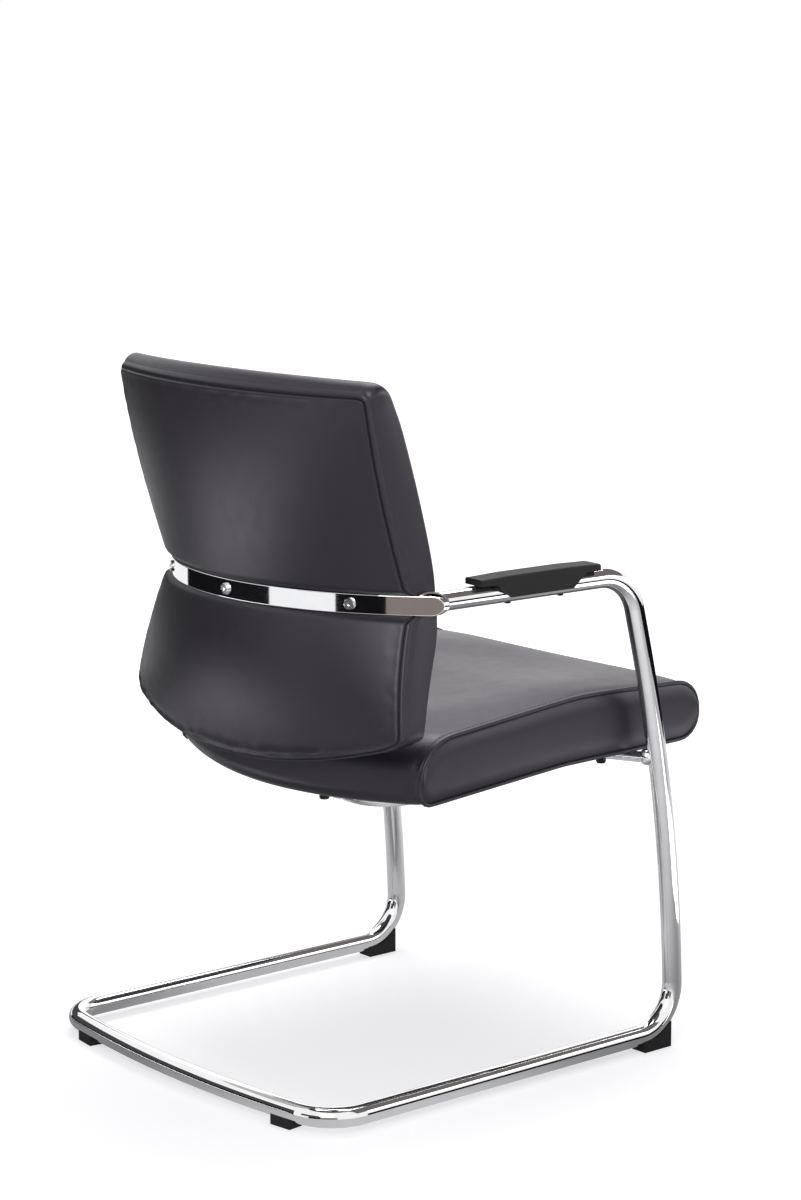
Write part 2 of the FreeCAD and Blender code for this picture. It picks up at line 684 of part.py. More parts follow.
support_outside = rod("support_outside", support_path, "Sizes.support_diameter / 2")
support_bore = rod("support_bore", support_path, "Sizes.support_diameter / 2 - Sizes.support_wall")
support_hollow = cut_object("support_hollow", support_outside, support_bore)
leg_allowance = rod("leg_allowance", frame_path, "Sizes.tube_diameter / 2 + Sizes.weld_gap")
weld_place = support_leg + Vector(-1, 1, 0).normalize() * tube_radius
weld = Part.makeSphere(size("weld_radius"), weld_place)
support_welded = document.addObject("Part::MultiFuse", "support_welded")
support_welded.Shapes = [support_hollow, shape_object("weld_left", weld),
                         shape_object("weld_right", mirrored(weld))]
support_coped = cut_object("support_coped", support_welded, leg_allowance)
support_drill = shape_object("support_drill", Part.makeCompound([
    upright_hole(place, bolt_hole, place.z - size("support_diameter"), place.z + size("support_diameter"))
    for place in seat_bolt_places]))
keep(cut_object("seat_support_tube", support_coped, support_drill), "seat_support_tube")

# Spacers between support and seat

support_allowance = rod("support_allowance", support_path, "Sizes.support_diameter / 2 + Sizes.weld_gap")
seat_allowance = shape_object("seat_allowance", seat_form([-size("weld_gap")] * SEAT_SIDES, belly_round))
SPACER_ENDS = (("front", size("front_spacer_length")), ("rear", size("rear_spacer_length")))
for side_number, side in enumerate(("left", "right")):
    for end_number, (end, length) in enumerate(SPACER_ENDS):
        place = seat_bolt_places[2 * side_number + end_number]
        block = document.addObject("Part::Box", "spacer_block")
        block.setExpression("Length", "Sizes.%s_spacer_length" % end)
        block.setExpression("Width", "Sizes.spacer_width")
        block.setExpression("Height", "Sizes.support_diameter * 3")
        corner = Vector(-length / 2, -size("spacer_width") / 2, size("spacer_foot"))
        block.Placement = Placement(place + corner, Rotation())
        saddle = cut_object("spacer_saddle", block, support_allowance)
        seated = cut_object("spacer_seated", saddle, seat_allowance)
        drill = shape_object("spacer_drill", upright_hole(place, bolt_hole, place.z - FAR, place.z + FAR))
        keep(cut_object("seat_spacer", seated, drill), "seat_spacer_%s_%s" % (end, side))

# Seat upholstery


def underside_height(share, y):
    """Height of the seat's underside on its straight runs."""
    corners = seat_corners(share, belly_round)
    tail, belly, nose = corners[3], corners[4], corners[5]
    start, end = (tail, belly) if y > belly[0] else (belly, nose)
    return start[1] + (end[1] - start[1]) * (y - start[0]) / (end[0] - start[0])


board_lift = leather + layer_gap
board_top = board_lift + size("board")


def seat_board_form():
    """Moulded board that follows the underside."""
    half_board = half_seat - size("board_side_set")
    wires = []
    for station in SEAT_STATIONS:
        share = station * half_board / half_seat
        corners = seat_corners(share, belly_round)
        front = corners[5][0] + size("board_front_set")
        rear = corners[3][0] - size("board_rear_set")
        stops = (front, size("belly_set"), rear)
        lower = [(y, underside_height(share, y) + board_lift) for y in stops]
        upper = [(y, underside_height(share, y) + board_top) for y in reversed(stops)]
        points = [Vector(station * half_board, y, z) for y, z in lower + upper]
        wires.append(Part.makePolygon(points + points[:1]))
    return Part.makeLoft(wires, True, False)


def seat_bolt_top(place):
    return underside_height(place.x / half_seat, place.y) + board_top


def nut_top(place):
    """The flange is sunk until its lower edge lies in the sloping board."""
    share = place.x / half_seat
    half_flange = size("nut_flange") / 2
    edges = [underside_height(share, place.y + step) for step in (-half_flange, half_flange)]
    return min(edges) + board_top - layer_gap


bolt_drill = Part.makeCompound(
    [upright_hole(place, bolt_hole, place.z, seat_bolt_top(place)) for place in seat_bolt_places])
nut_drill = Part.makeCompound(
    [upright_hole(place, size("nut_barrel") / 2 + size("hole_clearance"), place.z, place.z + FAR)
     for place in seat_bolt_places]
    + [upright_hole(place, size("nut_flange") / 2 + size("hole_clearance"),
                    nut_top(place) - size("nut_flange_thickness") - layer_gap, place.z + FAR)
       for place in seat_bolt_places])

cover_inside = seat_form([leather] * SEAT_SIDES, belly_round)
cover_ends = Part.makeBox(2 * cover_half, 2 * FAR, 2 * FAR, Vector(-cover_half, -FAR, -FAR))
main_cover = seat_outside.cut(cover_inside).common(cover_ends).cut(bolt_drill)
keep(shape_object("seat_main_cover", main_cover), "seat_main_cover")

skin_inset = leather + layer_gap
foam_bottom = board_top + layer_gap
foam_insets = [skin_inset] * 3 + [foam_bottom] * 2 + [skin_inset]
foam_ends = Part.makeBox(2 * (cover_half - layer_gap), 2 * FAR, 2 * FAR,
                         Vector(-(cover_half - layer_gap), -FAR, -FAR))
seat_foam = seat_form(foam_insets, layer_gap).common(foam_ends)
keep(shape_object("seat_foam", seat_foam), "seat_foam")
keep(shape_object("seat_board", seat_board_form().cut(nut_drill)), "seat_board")

piping_radius = size("piping_diameter") / 2
piping_inset = piping_radius - size("piping_proud")
piping_x = cover_half + layer_gap + piping_radius
panel_inset = piping_inset + piping_radius + layer_gap
side_corners = seat_corners(1.0, belly_round)
piping_path = rounded_outline(side_corners, [piping_inset] * SEAT_SIDES, piping_x)
piping_start = piping_path.Edges[0].valueAt(piping_path.Edges[0].FirstParameter)
piping_along = piping_path.Edges[0].tangentAt(piping_path.Edges[0].FirstParameter)
piping_ring = Part.Wire(Part.makeCircle(piping_radius, piping_start, piping_along))
seat_piping = piping_path.makePipeShell([piping_ring], True, False)
panel_x = cover_half + layer_gap
side_panel = Part.makeLoft([
    rounded_outline(side_corners, [panel_inset] * SEAT_SIDES, panel_x),
    rounded_outline(side_corners, [panel_inset] * SEAT_SIDES, panel_x + size("side_panel") / 2),
    rounded_outline(side_corners, [panel_inset + size("side_panel_draw")] * SEAT_SIDES,
                    panel_x + size("side_panel")),
], True, True)
keep(shape_object("seat_piping_left", seat_piping), "seat_piping_left")
keep(shape_object("seat_piping_right", mirrored(seat_piping)), "seat_piping_right")
keep(shape_object("seat_side_panel_left", side_panel), "seat_side_panel_left")
keep(shape_object("seat_side_panel_right", mirrored(side_panel)), "seat_side_panel_right")

seat_bolt = screw_body("seat_bolt_model", "bolt_head", "bolt_head_height", "bolt_diameter",
                       "Sizes.seat_bolt_length")
head_down = Rotation(Vector(1, 0, 0), 180)


def seat_bolt_seat(place):
    """Underside of the support below a bolt, where the head's edge first meets a sloping run."""
    slope = run_slope if place.y < size("belly_set") else 0.0
    drop = size("support_diameter") / 2 * math.hypot(1, slope) + size("bolt_head") / 2 * slope
    return place - Vector(0, 0, drop + size("weld_gap"))


placed_group("seat_bolts", seat_bolt, [
    Placement(seat_bolt_seat(place), head_down) for place in seat_bolt_places])
tee_nut = nut_body("tee_nut_model")
placed_group("seat_tee_nuts", tee_nut, [
    Placement(Vector(place.x, place.y, nut_top(place)), Rotation()) for place in seat_bolt_places])

# Backrest


def arc_set_back(radius, x):
    return radius - math.sqrt(radius ** 2 - x ** 2)


lean = math.radians(size("back_lean"))
tuck = math.radians(size("back_tuck"))
half_hem = size("back_hem_width") / 2
valley_half = size("band_valley") / 2
cover_radius = band_inside - size("band_clearance")


def across(x, middle, side):
    """A size that changes from the centre line to the lower corners' width."""
    return side + (middle - side) * max(1 - (x / half_hem) ** 2, 0)


def size_across(x, name):
    """The same for a pair of sizes called middle and side."""
    start, end = name
    return across(x, size(start + "_middle_" + end), size(start + "_side_" + end))


def rear_line(x, shift, drop, pinched):
    """Rear profile at X from the hem up, moved forward by shift and lowered at the top by drop."""
    hem_y = size("back_hem_rear") - arc_set_back(size("back_hem_radius"), x) - shift
    valley_y = band_centre.y + math.sqrt(cover_radius ** 2 - x ** 2) - shift
    top_y = size("back_top_rear") - arc_set_back(size("back_top_radius"), x) - shift
    top_z = size("back_top") + shift * math.tan(lean) - drop
    hem_z = size("back_hem") - shift * math.tan(tuck)
    pinch = across(x, size("pinch_middle"), size("pinch_side")) if pinched else 0.0
    low = Vector(x, valley_y, size("band_level") - valley_half)
    high = Vector(x, valley_y, size("band_level") + valley_half)
    low_shoulder = low + Vector(0, pinch, -size("pinch_height"))
    high_shoulder = high + Vector(0, pinch, size("pinch_height"))
    hem = Vector(x, hem_y, hem_z)
    top = Vector(x, top_y, top_z)
    lower_middle = (hem + low_shoulder) * 0.5 + Vector(0, size("rear_lower_crown"), 0)
    upper_middle = (high_shoulder + top) * 0.5 + Vector(0, size("rear_upper_crown"), 0)
    return hem, lower_middle, low_shoulder, low, high, high_shoulder, upper_middle, top


def front_line(x, shift, drop):
    """Front profile at X from the hem up, moved rearward by shift."""
    rear = rear_line(x, 0, 0, False)
    hem, low, high, top = rear[0], rear[3], rear[4], rear[-1]
    hem_depth = size_across(x, ("hem", "thickness")) - shift
    waist_depth = size_across(x, ("waist", "thickness")) - shift
    top_depth = size_across(x, ("top", "thickness")) - shift
    lower = hem + Vector(0, -hem_depth, -hem_depth * math.tan(tuck))
    upper = top + Vector(0, -top_depth, top_depth * math.tan(lean) - drop)
    lumbar = (low + high) * 0.5 - Vector(0, waist_depth, 0)
    knee_step = Vector(0, 0, size("lumbar_height") / 2)
    lower_knee = lumbar + Vector(0, size("lumbar_crown"), 0) - knee_step
    upper_knee = lumbar + Vector(0, size("lumbar_crown"), 0) + knee_step
    lower_middle = (lower + lower_knee) * 0.5 - Vector(0, size("front_lower_crown"), 0)
    upper_middle = (upper + upper_knee) * 0.5 - Vector(0, size("front_upper_crown"), 0)
    return lower, lower_middle, lower_knee, lumbar, upper_knee, upper_middle, upper


def join(start, end):
    return Part.LineSegment(start, end).toShape()


def bow(start, middle, end):
    return Part.Arc(start, middle, end).toShape()


def rear_edges(line):
    hem, lower_middle, low_shoulder, low, high, high_shoulder, upper_middle, top = line
    return [
        bow(hem, lower_middle, low_shoulder),
        join(low_shoulder, low),
        join(low, high),
        join(high, high_shoulder),
        bow(high_shoulder, upper_middle, top),
    ]


def front_edges(line):
    lower, lower_middle, lower_knee, lumbar, upper_knee, upper_middle, upper = line
    return [
        bow(upper, upper_middle, upper_knee),
        bow(upper_knee, lumbar, lower_knee),
        bow(lower_knee, lower_middle, lower),
    ]


def back_loft(outline_at):
    """Form through upright outlines across the back's width."""
    wires = []
    for station in BACK_STATIONS:
        edges = outline_at(station * half_hem)
        wires.append(Part.Wire(Part.sortEdges(edges)[0]))
    return Part.makeLoft(wires, True, False)


def rear_layer(start_shift, end_shift, pinched_inside):
    """Layer between the pinched rear profile and a copy further in."""
    return between_rear_lines(
        lambda x: rear_line(x, start_shift, 0, True), lambda x: rear_line(x, end_shift, 0, pinched_inside))


def board_layer(start_shift, end_shift):
    """Layer between two smooth copies of the rear profile."""
    return between_rear_lines(
        lambda x: rear_line(x, start_shift, 0, False), lambda x: rear_line(x, end_shift, 0, False))


def between_rear_lines(outer_at, inner_at):
    def outline_at(x):
        outer = outer_at(x)
        inner = inner_at(x)
        ends = [join(outer[-1], inner[-1]), join(inner[0], outer[0])]
        return rear_edges(outer) + rear_edges(inner) + ends
    return back_loft(outline_at)


def thick_layer(rear_shift, front_shift, drop, pinched):
    """Layer between the rear profile and the front profile, crowned on top."""
    def outline_at(x):
        outer = rear_line(x, rear_shift, drop, pinched)
        front = front_line(x, front_shift, drop)
        top_middle = (outer[-1] + front[-1]) * 0.5 + Vector(0, 0, size_across(x, ("top", "crown")))
        top_edge = bow(outer[-1], top_middle, front[-1])
        return rear_edges(outer) + [top_edge] + front_edges(front) + [join(front[0], outer[0])]
    return back_loft(outline_at)


def front_layer(start_shift, end_shift):
    """Layer between two copies of the front profile."""
    def outline_at(x):
        outer = front_line(x, start_shift, 0)
        inner = front_line(x, end_shift, 0)
        ends = [join(outer[0], inner[0]), join(inner[-1], outer[-1])]
        return front_edges(outer) + front_edges(inner) + ends
    return back_loft(outline_at)


def back_outline(inset):
    """Prism of the back's front view: waisted sides, lower corners and a bowed lower edge."""
    half_top = size("back_top_width") / 2 - inset
    half_waist = size("back_waist_width") / 2 - inset
    half_low = half_hem - inset
    corner_height = size("back_corner_height") + inset
    lowest = size("back_lowest") + inset
    rise = size("back_top") - size("band_level")
    far_top = size("band_level") + 2 * rise
    half_far = half_waist + (half_top - half_waist) * 2
    left = [Vector(half_far, 0, far_top), Vector(half_waist, 0, size("band_level")),
            Vector(half_low, 0, corner_height)]
    right = [flipped(point) for point in reversed(left)]
    edges = [join(left[0], left[1]), join(left[1], left[2])]
    edges.append(Part.Arc(left[2], Vector(0, 0, lowest), right[0]).toShape())
    edges += [join(right[0], right[1]), join(right[1], right[2]), join(right[2], left[0])]
    prism = Part.Face(Part.Wire(edges)).extrude(Vector(0, FAR, 0))
    corners = [edge for edge in prism.Edges
               if abs(edge.Length - FAR) < 1 and abs(edge.CenterOfMass.z - corner_height) < 1]
    return prism.makeFillet(size("back_corner_round") - inset, corners)


outer_prism = back_outline(0)
inner_prism = back_outline(skin_inset)
boxing_prism = outer_prism.cut(back_outline(leather))

board_start = skin_inset + size("padding") + layer_gap
board_end = board_start + size("board")


def radial_reach(turn, shift):
    """Radius from the band's centre to the valley's face moved forward by shift."""
    across_shift = shift * math.sin(math.radians(turn))
    return math.sqrt(cover_radius ** 2 - across_shift ** 2) - shift * math.cos(math.radians(turn))


def nut_face(turn):
    return radial_reach(turn, board_end) + layer_gap


screw_drill = []
nut_drill_back = []
for turn in back_screw_turns:
    screw_drill.append(radial_hole(turn, bolt_hole, nut_face(turn), size("band_radius")))
    nut_drill_back.append(radial_hole(turn, size("nut_barrel") / 2 + size("hole_clearance"),
                                      band_inside / 2, size("band_radius")))
    nut_drill_back.append(radial_hole(turn, size("nut_flange") / 2 + size("hole_clearance"), band_inside / 2,
                                      nut_face(turn) + size("nut_flange_thickness") + layer_gap))


def drilled(shape, tools):
    for tool in tools:
        shape = shape.cut(tool)
    return shape


rear_panel = rear_layer(0, leather, True).common(outer_prism)
keep(shape_object("back_rear_panel", drilled(rear_panel, screw_drill)), "back_rear_panel")
keep(shape_object("back_front_panel", front_layer(0, leather).common(outer_prism)), "back_front_panel")
between_panels = thick_layer(skin_inset, skin_inset, 0, True)
keep(shape_object("back_boxing_strip", between_panels.common(boxing_prism)), "back_boxing_strip")
top_panel = between_panels.cut(thick_layer(0, 0, leather, True)).common(inner_prism)
keep(shape_object("back_top_panel", top_panel), "back_top_panel")
under_top_panel = thick_layer(0, 0, skin_inset, True).common(inner_prism)
rear_padding = rear_layer(skin_inset, skin_inset + size("padding"), False).common(under_top_panel)
keep(shape_object("back_rear_padding", drilled(rear_padding, screw_drill)), "back_rear_padding")
back_board = board_layer(board_start, board_end).common(under_top_panel)
keep(shape_object("back_board", drilled(back_board, nut_drill_back)), "back_board")
back_foam = thick_layer(board_end + layer_gap, skin_inset, 0, False).common(under_top_panel)
keep(shape_object("back_foam", back_foam), "back_foam")

back_screw = screw_body("back_screw_model", "screw_head", "screw_head_height", "bolt_diameter",
                        "Sizes.back_screw_length")
placed_group("back_screws", back_screw, [
    radial_placement(turn, size("band_radius")) for turn in back_screw_turns])
turn_over = Placement(Vector(), Rotation(Vector(1, 0, 0), 180))
placed_group("back_tee_nuts", tee_nut, [
    radial_placement(turn, nut_face(turn)).multiply(turn_over)
    for turn in back_screw_turns])

# Arm pads

pad_under = "(Sizes.tube_diameter / 2 + Sizes.pad_rise)"
pad_corners = (
    ("-Sizes.pad_length / 2", pad_under),
    ("-Sizes.skirt_front", pad_under),
    ("-Sizes.skirt_front + Sizes.skirt_cut", "-Sizes.skirt_drop"),
    ("Sizes.skirt_rear - Sizes.skirt_cut", "-Sizes.skirt_drop"),
    ("Sizes.skirt_rear", pad_under),
    ("Sizes.pad_length / 2", pad_under),
    ("Sizes.pad_length / 2", pad_under + " + Sizes.pad_slab - Sizes.pad_crown"),
    ("Sizes.pad_length / 4", pad_under + " + Sizes.pad_slab - Sizes.pad_crown / 4"),
    ("-Sizes.pad_length / 4", pad_under + " + Sizes.pad_slab - Sizes.pad_crown / 4"),
    ("-Sizes.pad_length / 2", pad_under + " + Sizes.pad_slab - Sizes.pad_crown"),
)
pad_model = padded_body("arm_pad_model", "XZ_Plane", pad_corners, "Sizes.pad_width")
pad_feature = pad_model.Tip


def upper_edges(shape):
    """Names of the long edges along the pad's top."""
    slab_middle = tube_radius + size("pad_rise") + size("pad_slab") / 2
    names = []
    for number, edge in enumerate(shape.Edges, start=1):
        box = edge.BoundBox
        if box.XLength > size("pad_length") / 5 and box.ZMin > slab_middle:
            names.append("Edge%d" % number)
    return names


pad_rounding = pad_model.newObject("PartDesign::Fillet", "arm_pad_rounding")
pad_rounding.Base = (pad_feature, upper_edges(pad_feature.Shape))
pad_rounding.setExpression("Radius", "Sizes.pad_round")
pad_channel_sketch = pad_model.newObject("Sketcher::SketchObject", "arm_pad_channel_outline")
pad_channel_sketch.AttachmentSupport = [(origin_plane(pad_model, "YZ_Plane"), "")]
pad_channel_sketch.MapMode = "FlatFace"
channel_radius = tube_radius + size("pad_clearance")
pad_channel_sketch.addGeometry(Part.Circle(Vector(0, 0, 0), Vector(0, 0, 1), channel_radius), False)
pad_channel_sketch.addConstraint(Sketcher.Constraint("Coincident", 0, 3, -1, 1))
channel_constraint = pad_channel_sketch.addConstraint(Sketcher.Constraint("Radius", 0, channel_radius))
pad_channel_sketch.setExpression("Constraints[%d]" % channel_constraint,
                                 "Sizes.tube_diameter / 2 + Sizes.pad_clearance")
document.recompute()
pad_channel = pad_model.newObject("PartDesign::Pocket", "arm_pad_channel")
pad_channel.Profile = pad_channel_sketch
pad_channel.SideType = "Symmetric"
pad_channel.setExpression("Length", "Sizes.pad_length * 2")
document.recompute()

pad_bores = [Part.makeCylinder(size("pad_screw") / 2, tube_radius + size("pad_screw_bite") + layer_gap,
                               Vector(along, 0, 0))
             for along in (-size("pad_screw_spacing") / 2, size("pad_screw_spacing") / 2)]
pad_shape = pad_model.Shape.cut(Part.makeCompound(pad_bores))
pad_shape.Placement = arm_frame
keep(shape_object("arm_pad_left", pad_shape), "arm_pad_left")
keep(shape_object("arm_pad_right", mirrored(pad_shape)), "arm_pad_right")

pad_screw = screw_body("pad_screw_model", "pad_screw_head", "pad_screw_head_height", "pad_screw",
                       "Sizes.tube_diameter + Sizes.pad_screw_bite")
screw_up = arm_frame.Rotation.multiply(head_down)
pad_screw_solids = []
for place in pad_screw_places:
    copy = pad_screw.Shape.copy()
    copy.Placement = Placement(place, screw_up)
    pad_screw_solids += [copy, mirrored(copy)]
keep(shape_object("arm_pad_screws", Part.makeCompound(pad_screw_solids)), "arm_pad_screws")

# Glides

front_glide_model = padded_body("front_glide_model", "YZ_Plane", (
    ("-Sizes.front_glide_length / 2", "0"),
    ("Sizes.front_glide_length / 2", "0"),
    ("Sizes.front_glide_length / 2", "Sizes.floor_gap + Sizes.tube_diameter / 4"),
    ("0", "Sizes.floor_gap + Sizes.tube_diameter / 3"),
    ("-Sizes.front_glide_length / 2", "Sizes.front_glide_height"),
), "Sizes.glide_width")
rear_glide_model = padded_body("rear_glide_model", "YZ_Plane", (
    ("-Sizes.rear_glide_width / 2", "0"),
    ("Sizes.rear_glide_width / 2", "0"),
    ("Sizes.rear_glide_width / 2", "Sizes.rear_glide_height"),
    ("-Sizes.rear_glide_width / 2", "Sizes.rear_glide_height"),
), "Sizes.rear_glide_length")
glide_saddle = rod("glide_saddle", frame_path, "Sizes.tube_diameter / 2 + Sizes.glide_clearance").Shape
glide_drill = Part.makeCompound(
    [upright_hole(place, size("glide_screw") / 2, 0, rail_height) for place in glide_places]
    + [upright_hole(place, size("glide_screw_head") / 2 + size("hole_clearance"), -1,
                    size("glide_screw_recess")) for place in glide_places])


def glide(model, middle, turn):
    block = model.Shape.copy()
    block.Placement = Placement(middle, Rotation(Vector(0, 0, 1), turn))
    return block.cut(glide_saddle).cut(glide_drill)


front_glide = glide(front_glide_model, front_glide_middle, 0)
rear_glide = glide(rear_glide_model, rear_glide_middle, rear_glide_turn)
keep(shape_object("front_glide_left", front_glide), "front_glide_left")
keep(shape_object("front_glide_right", mirrored(front_glide)), "front_glide_right")
keep(shape_object("rear_glide_left", rear_glide), "rear_glide_left")
keep(shape_object("rear_glide_right", mirrored(rear_glide)), "rear_glide_right")

glide_screw = screw_body("glide_screw_model", "glide_screw_head", "glide_screw_head_height", "glide_screw",
                         "Sizes.floor_gap + Sizes.tube_wall * 2 - Sizes.glide_screw_recess")
placed_group("glide_screws", glide_screw, [
    Placement(Vector(place.x, place.y, size("glide_screw_recess")), head_down) for place in glide_places])

# Check every object, then write one file for each sub-part

document.recompute()
for item in document.Objects:
    if "Invalid" in item.State or "Error" in item.State:
        raise RuntimeError("%s did not rebuild: %s" % (item.Label, item.State))
for piece in pieces:
    if piece.Shape.isNull() or not piece.Shape.isValid() or not piece.Shape.Solids:
        raise RuntimeError("%s has no valid solid" % piece.Label)

os.makedirs("parts", exist_ok=True)
for piece in pieces:
    piece.Shape.exportStep("parts/%s.step" % piece.Label)
    print("%-26s solids %d  volume %.0f" % (piece.Label, len(piece.Shape.Solids), piece.Shape.Volume))
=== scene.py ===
import math
import bmesh
import bpy
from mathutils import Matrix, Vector, noise


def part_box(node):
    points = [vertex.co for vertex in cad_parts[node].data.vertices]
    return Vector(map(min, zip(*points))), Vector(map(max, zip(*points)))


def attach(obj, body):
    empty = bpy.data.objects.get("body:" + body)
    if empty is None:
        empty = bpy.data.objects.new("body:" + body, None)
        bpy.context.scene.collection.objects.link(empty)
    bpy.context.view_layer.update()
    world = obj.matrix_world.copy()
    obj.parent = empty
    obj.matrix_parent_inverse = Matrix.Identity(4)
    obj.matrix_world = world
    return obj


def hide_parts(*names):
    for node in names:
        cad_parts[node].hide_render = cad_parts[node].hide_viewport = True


# Cantilever conference chair with black leather cushions on a chromed tube frame.
# Metres, in the CAD frame: +Z up, the sitter faces -Y, symmetric about X = 0.

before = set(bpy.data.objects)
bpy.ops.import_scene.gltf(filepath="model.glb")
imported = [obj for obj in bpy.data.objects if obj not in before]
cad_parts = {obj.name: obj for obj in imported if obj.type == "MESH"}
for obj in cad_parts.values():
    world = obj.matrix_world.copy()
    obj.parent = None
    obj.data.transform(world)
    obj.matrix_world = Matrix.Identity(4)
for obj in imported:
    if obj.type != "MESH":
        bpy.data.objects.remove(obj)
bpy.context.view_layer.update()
scene = bpy.context.scene
MM = 0.001


# Small helpers


def mesh_object(name, vertices, faces, material):
    """Smooth-shaded mesh with its faces turned outwards."""
    mesh = bpy.data.meshes.new(name)
    mesh.from_pydata([tuple(vertex) for vertex in vertices], [], faces)
    editor = bmesh.new()
    editor.from_mesh(mesh)
    bmesh.ops.recalc_face_normals(editor, faces=editor.faces)
    editor.to_mesh(mesh)
    editor.free()
    mesh.materials.append(material)
    mesh.shade_smooth()
    item = bpy.data.objects.new(name, mesh)
    scene.collection.objects.link(item)
    return item


def mix(start, end, share):
    return start + (end - start) * share


def steps_from_edge(length, edge_steps, spacing):
    """Distances from an edge: the given fine steps first, then even ones up to the length."""
    first = edge_steps[-1]
    count = max(1, round((length - first) / spacing))
    return list(edge_steps) + [mix(first, length, number / count) for number in range(1, count + 1)]


def steps_between_edges(length, edge_steps, spacing):
    """The same with fine steps at both ends."""
    half = steps_from_edge(length / 2, edge_steps, spacing)
    return half + [length - step for step in reversed(half[:-1])]


# Procedural materials


def node_material(name):
    """New material with its node tree and its main shader."""
    material = bpy.data.materials.new(name)
    material.use_nodes = True
    shader = material.node_tree.nodes["Principled BSDF"]
    return material, material.node_tree, shader


def texture(tree, kind, scale, **settings):
    """Procedural texture laid out in the object's own metres."""
    node = tree.nodes.new(kind)
    place = tree.nodes.new("ShaderNodeTexCoord")
    tree.links.new(place.outputs["Object"], node.inputs["Vector"])
    node.inputs["Scale"].default_value = scale
    for key, value in settings.items():
        node.inputs[key].default_value = value
    return node


def ramp(tree, source, low, high):
    """Plain number between two values, driven by a texture or a mark."""
    node = tree.nodes.new("ShaderNodeMapRange")
    tree.links.new(source, node.inputs["Value"])
    node.inputs["To Min"].default_value = low
    node.inputs["To Max"].default_value = high
    return node.outputs["Result"]


def colour_range(tree, source, low, high):
    """Colour between two tones over the middle of a texture's range."""
    node = tree.nodes.new("ShaderNodeValToRGB")
    tree.links.new(source, node.inputs["Fac"])
    node.color_ramp.elements[0].position = 0.3
    node.color_ramp.elements[0].color = (*low, 1)
    node.color_ramp.elements[1].position = 0.7
    node.color_ramp.elements[1].color = (*high, 1)
    return node.outputs["Color"]


def paint(tree, shader, source, dark, light):
    """Base colour between two tones, driven by a texture."""
    tree.links.new(colour_range(tree, source, dark, light), shader.inputs["Base Color"])


def roughen(tree, shader, source, low, high):
    """Roughness between two values, driven by a texture."""
    tree.links.new(ramp(tree, source, low, high), shader.inputs["Roughness"])


def bump(tree, shader, heights, strength, distance):
    """Surface relief from the sum of weighted heights."""
    total = None
    for source, weight in heights:
        scaled = tree.nodes.new("ShaderNodeMath")
        scaled.operation = "MULTIPLY_ADD"
        tree.links.new(source, scaled.inputs[0])
        scaled.inputs[1].default_value = weight
        if total is None:
            scaled.inputs[2].default_value = 0.0
        else:
            tree.links.new(total, scaled.inputs[2])
        total = scaled.outputs[0]
    node = tree.nodes.new("ShaderNodeBump")
    node.inputs["Strength"].default_value = strength
    node.inputs["Distance"].default_value = distance
    tree.links.new(total, node.inputs["Height"])
    tree.links.new(node.outputs["Normal"], shader.inputs["Normal"])


# Points in a seam are marked and get almost no sheen: painted shade that draws the seams as dark lines.
SEAM_SHADE_MARK = "seam"
LEATHER_DARK = (0.0098, 0.0088, 0.0112)
LEATHER_LIGHT = (0.0135, 0.0121, 0.0152)
LEATHER_GLOSS = 0.65
SEAM_SHADE_GLOSS = 0.05
LEATHER_TINT = (0.91, 0.86, 1.0, 1)
PLASTIC_DARK = (0.014, 0.0137, 0.0148)
PLASTIC_LIGHT = (0.019, 0.0186, 0.02)
PLASTIC_GLOSS = 0.25


def leather_material():
    """Smooth black cover leather: fine pebble grain, pores and a soft uneven sheen; the seams get almost no
    sheen, which paints their shade as dark lines.
    """
    material, tree, shader = node_material("black_leather")
    pebble = texture(tree, "ShaderNodeTexVoronoi", 700.0)
    pores = texture(tree, "ShaderNodeTexNoise", 2600.0, Detail=3.0)
    hide = texture(tree, "ShaderNodeTexNoise", 9.0, Detail=4.0)
    cloudy = texture(tree, "ShaderNodeTexNoise", 55.0, Detail=3.0)
    paint(tree, shader, hide.outputs["Fac"], LEATHER_DARK, LEATHER_LIGHT)
    roughen(tree, shader, cloudy.outputs["Fac"], 0.36, 0.46)
    # Painted shade: the seam mark turns the sheen down to almost nothing in the seams.
    seam = tree.nodes.new("ShaderNodeAttribute")
    seam.attribute_name = SEAM_SHADE_MARK
    gloss = ramp(tree, seam.outputs["Fac"], LEATHER_GLOSS, SEAM_SHADE_GLOSS)
    tree.links.new(gloss, shader.inputs["Specular IOR Level"])
    shader.inputs["Specular Tint"].default_value = LEATHER_TINT
    bump(tree, shader, [(pebble.outputs["Distance"], 0.7), (pores.outputs["Fac"], 0.35)], 0.22, 0.0002)
    return material


def thread_material():
    """Twisted sewing thread."""
    material, tree, shader = node_material("black_thread")
    twist = texture(tree, "ShaderNodeTexWave", 900.0, Distortion=1.5)
    paint(tree, shader, twist.outputs["Fac"], (0.02, 0.02, 0.021), (0.05, 0.05, 0.052))
    shader.inputs["Roughness"].default_value = 0.55
    bump(tree, shader, [(twist.outputs["Fac"], 1.0)], 0.4, 0.0002)
    return material


def chrome_material():
    """Mirror plating with faint polishing haze."""
    material, tree, shader = node_material("mirror_chrome")
    haze = texture(tree, "ShaderNodeTexNoise", 35.0, Detail=4.0)
    paint(tree, shader, haze.outputs["Fac"], (0.86, 0.865, 0.875), (0.91, 0.91, 0.915))
    roughen(tree, shader, haze.outputs["Fac"], 0.03, 0.075)
    shader.inputs["Metallic"].default_value = 1.0
    return material


def steel_material(name, dark, light, rough_low, rough_high):
    """Plated fastener steel with fine turning marks."""
    material, tree, shader = node_material(name)
    marks = texture(tree, "ShaderNodeTexNoise", 420.0, Detail=3.0)
    paint(tree, shader, marks.outputs["Fac"], dark, light)
    roughen(tree, shader, marks.outputs["Fac"], rough_low, rough_high)
    shader.inputs["Metallic"].default_value = 1.0
    bump(tree, shader, [(marks.outputs["Fac"], 1.0)], 0.1, 0.0001)
    return material


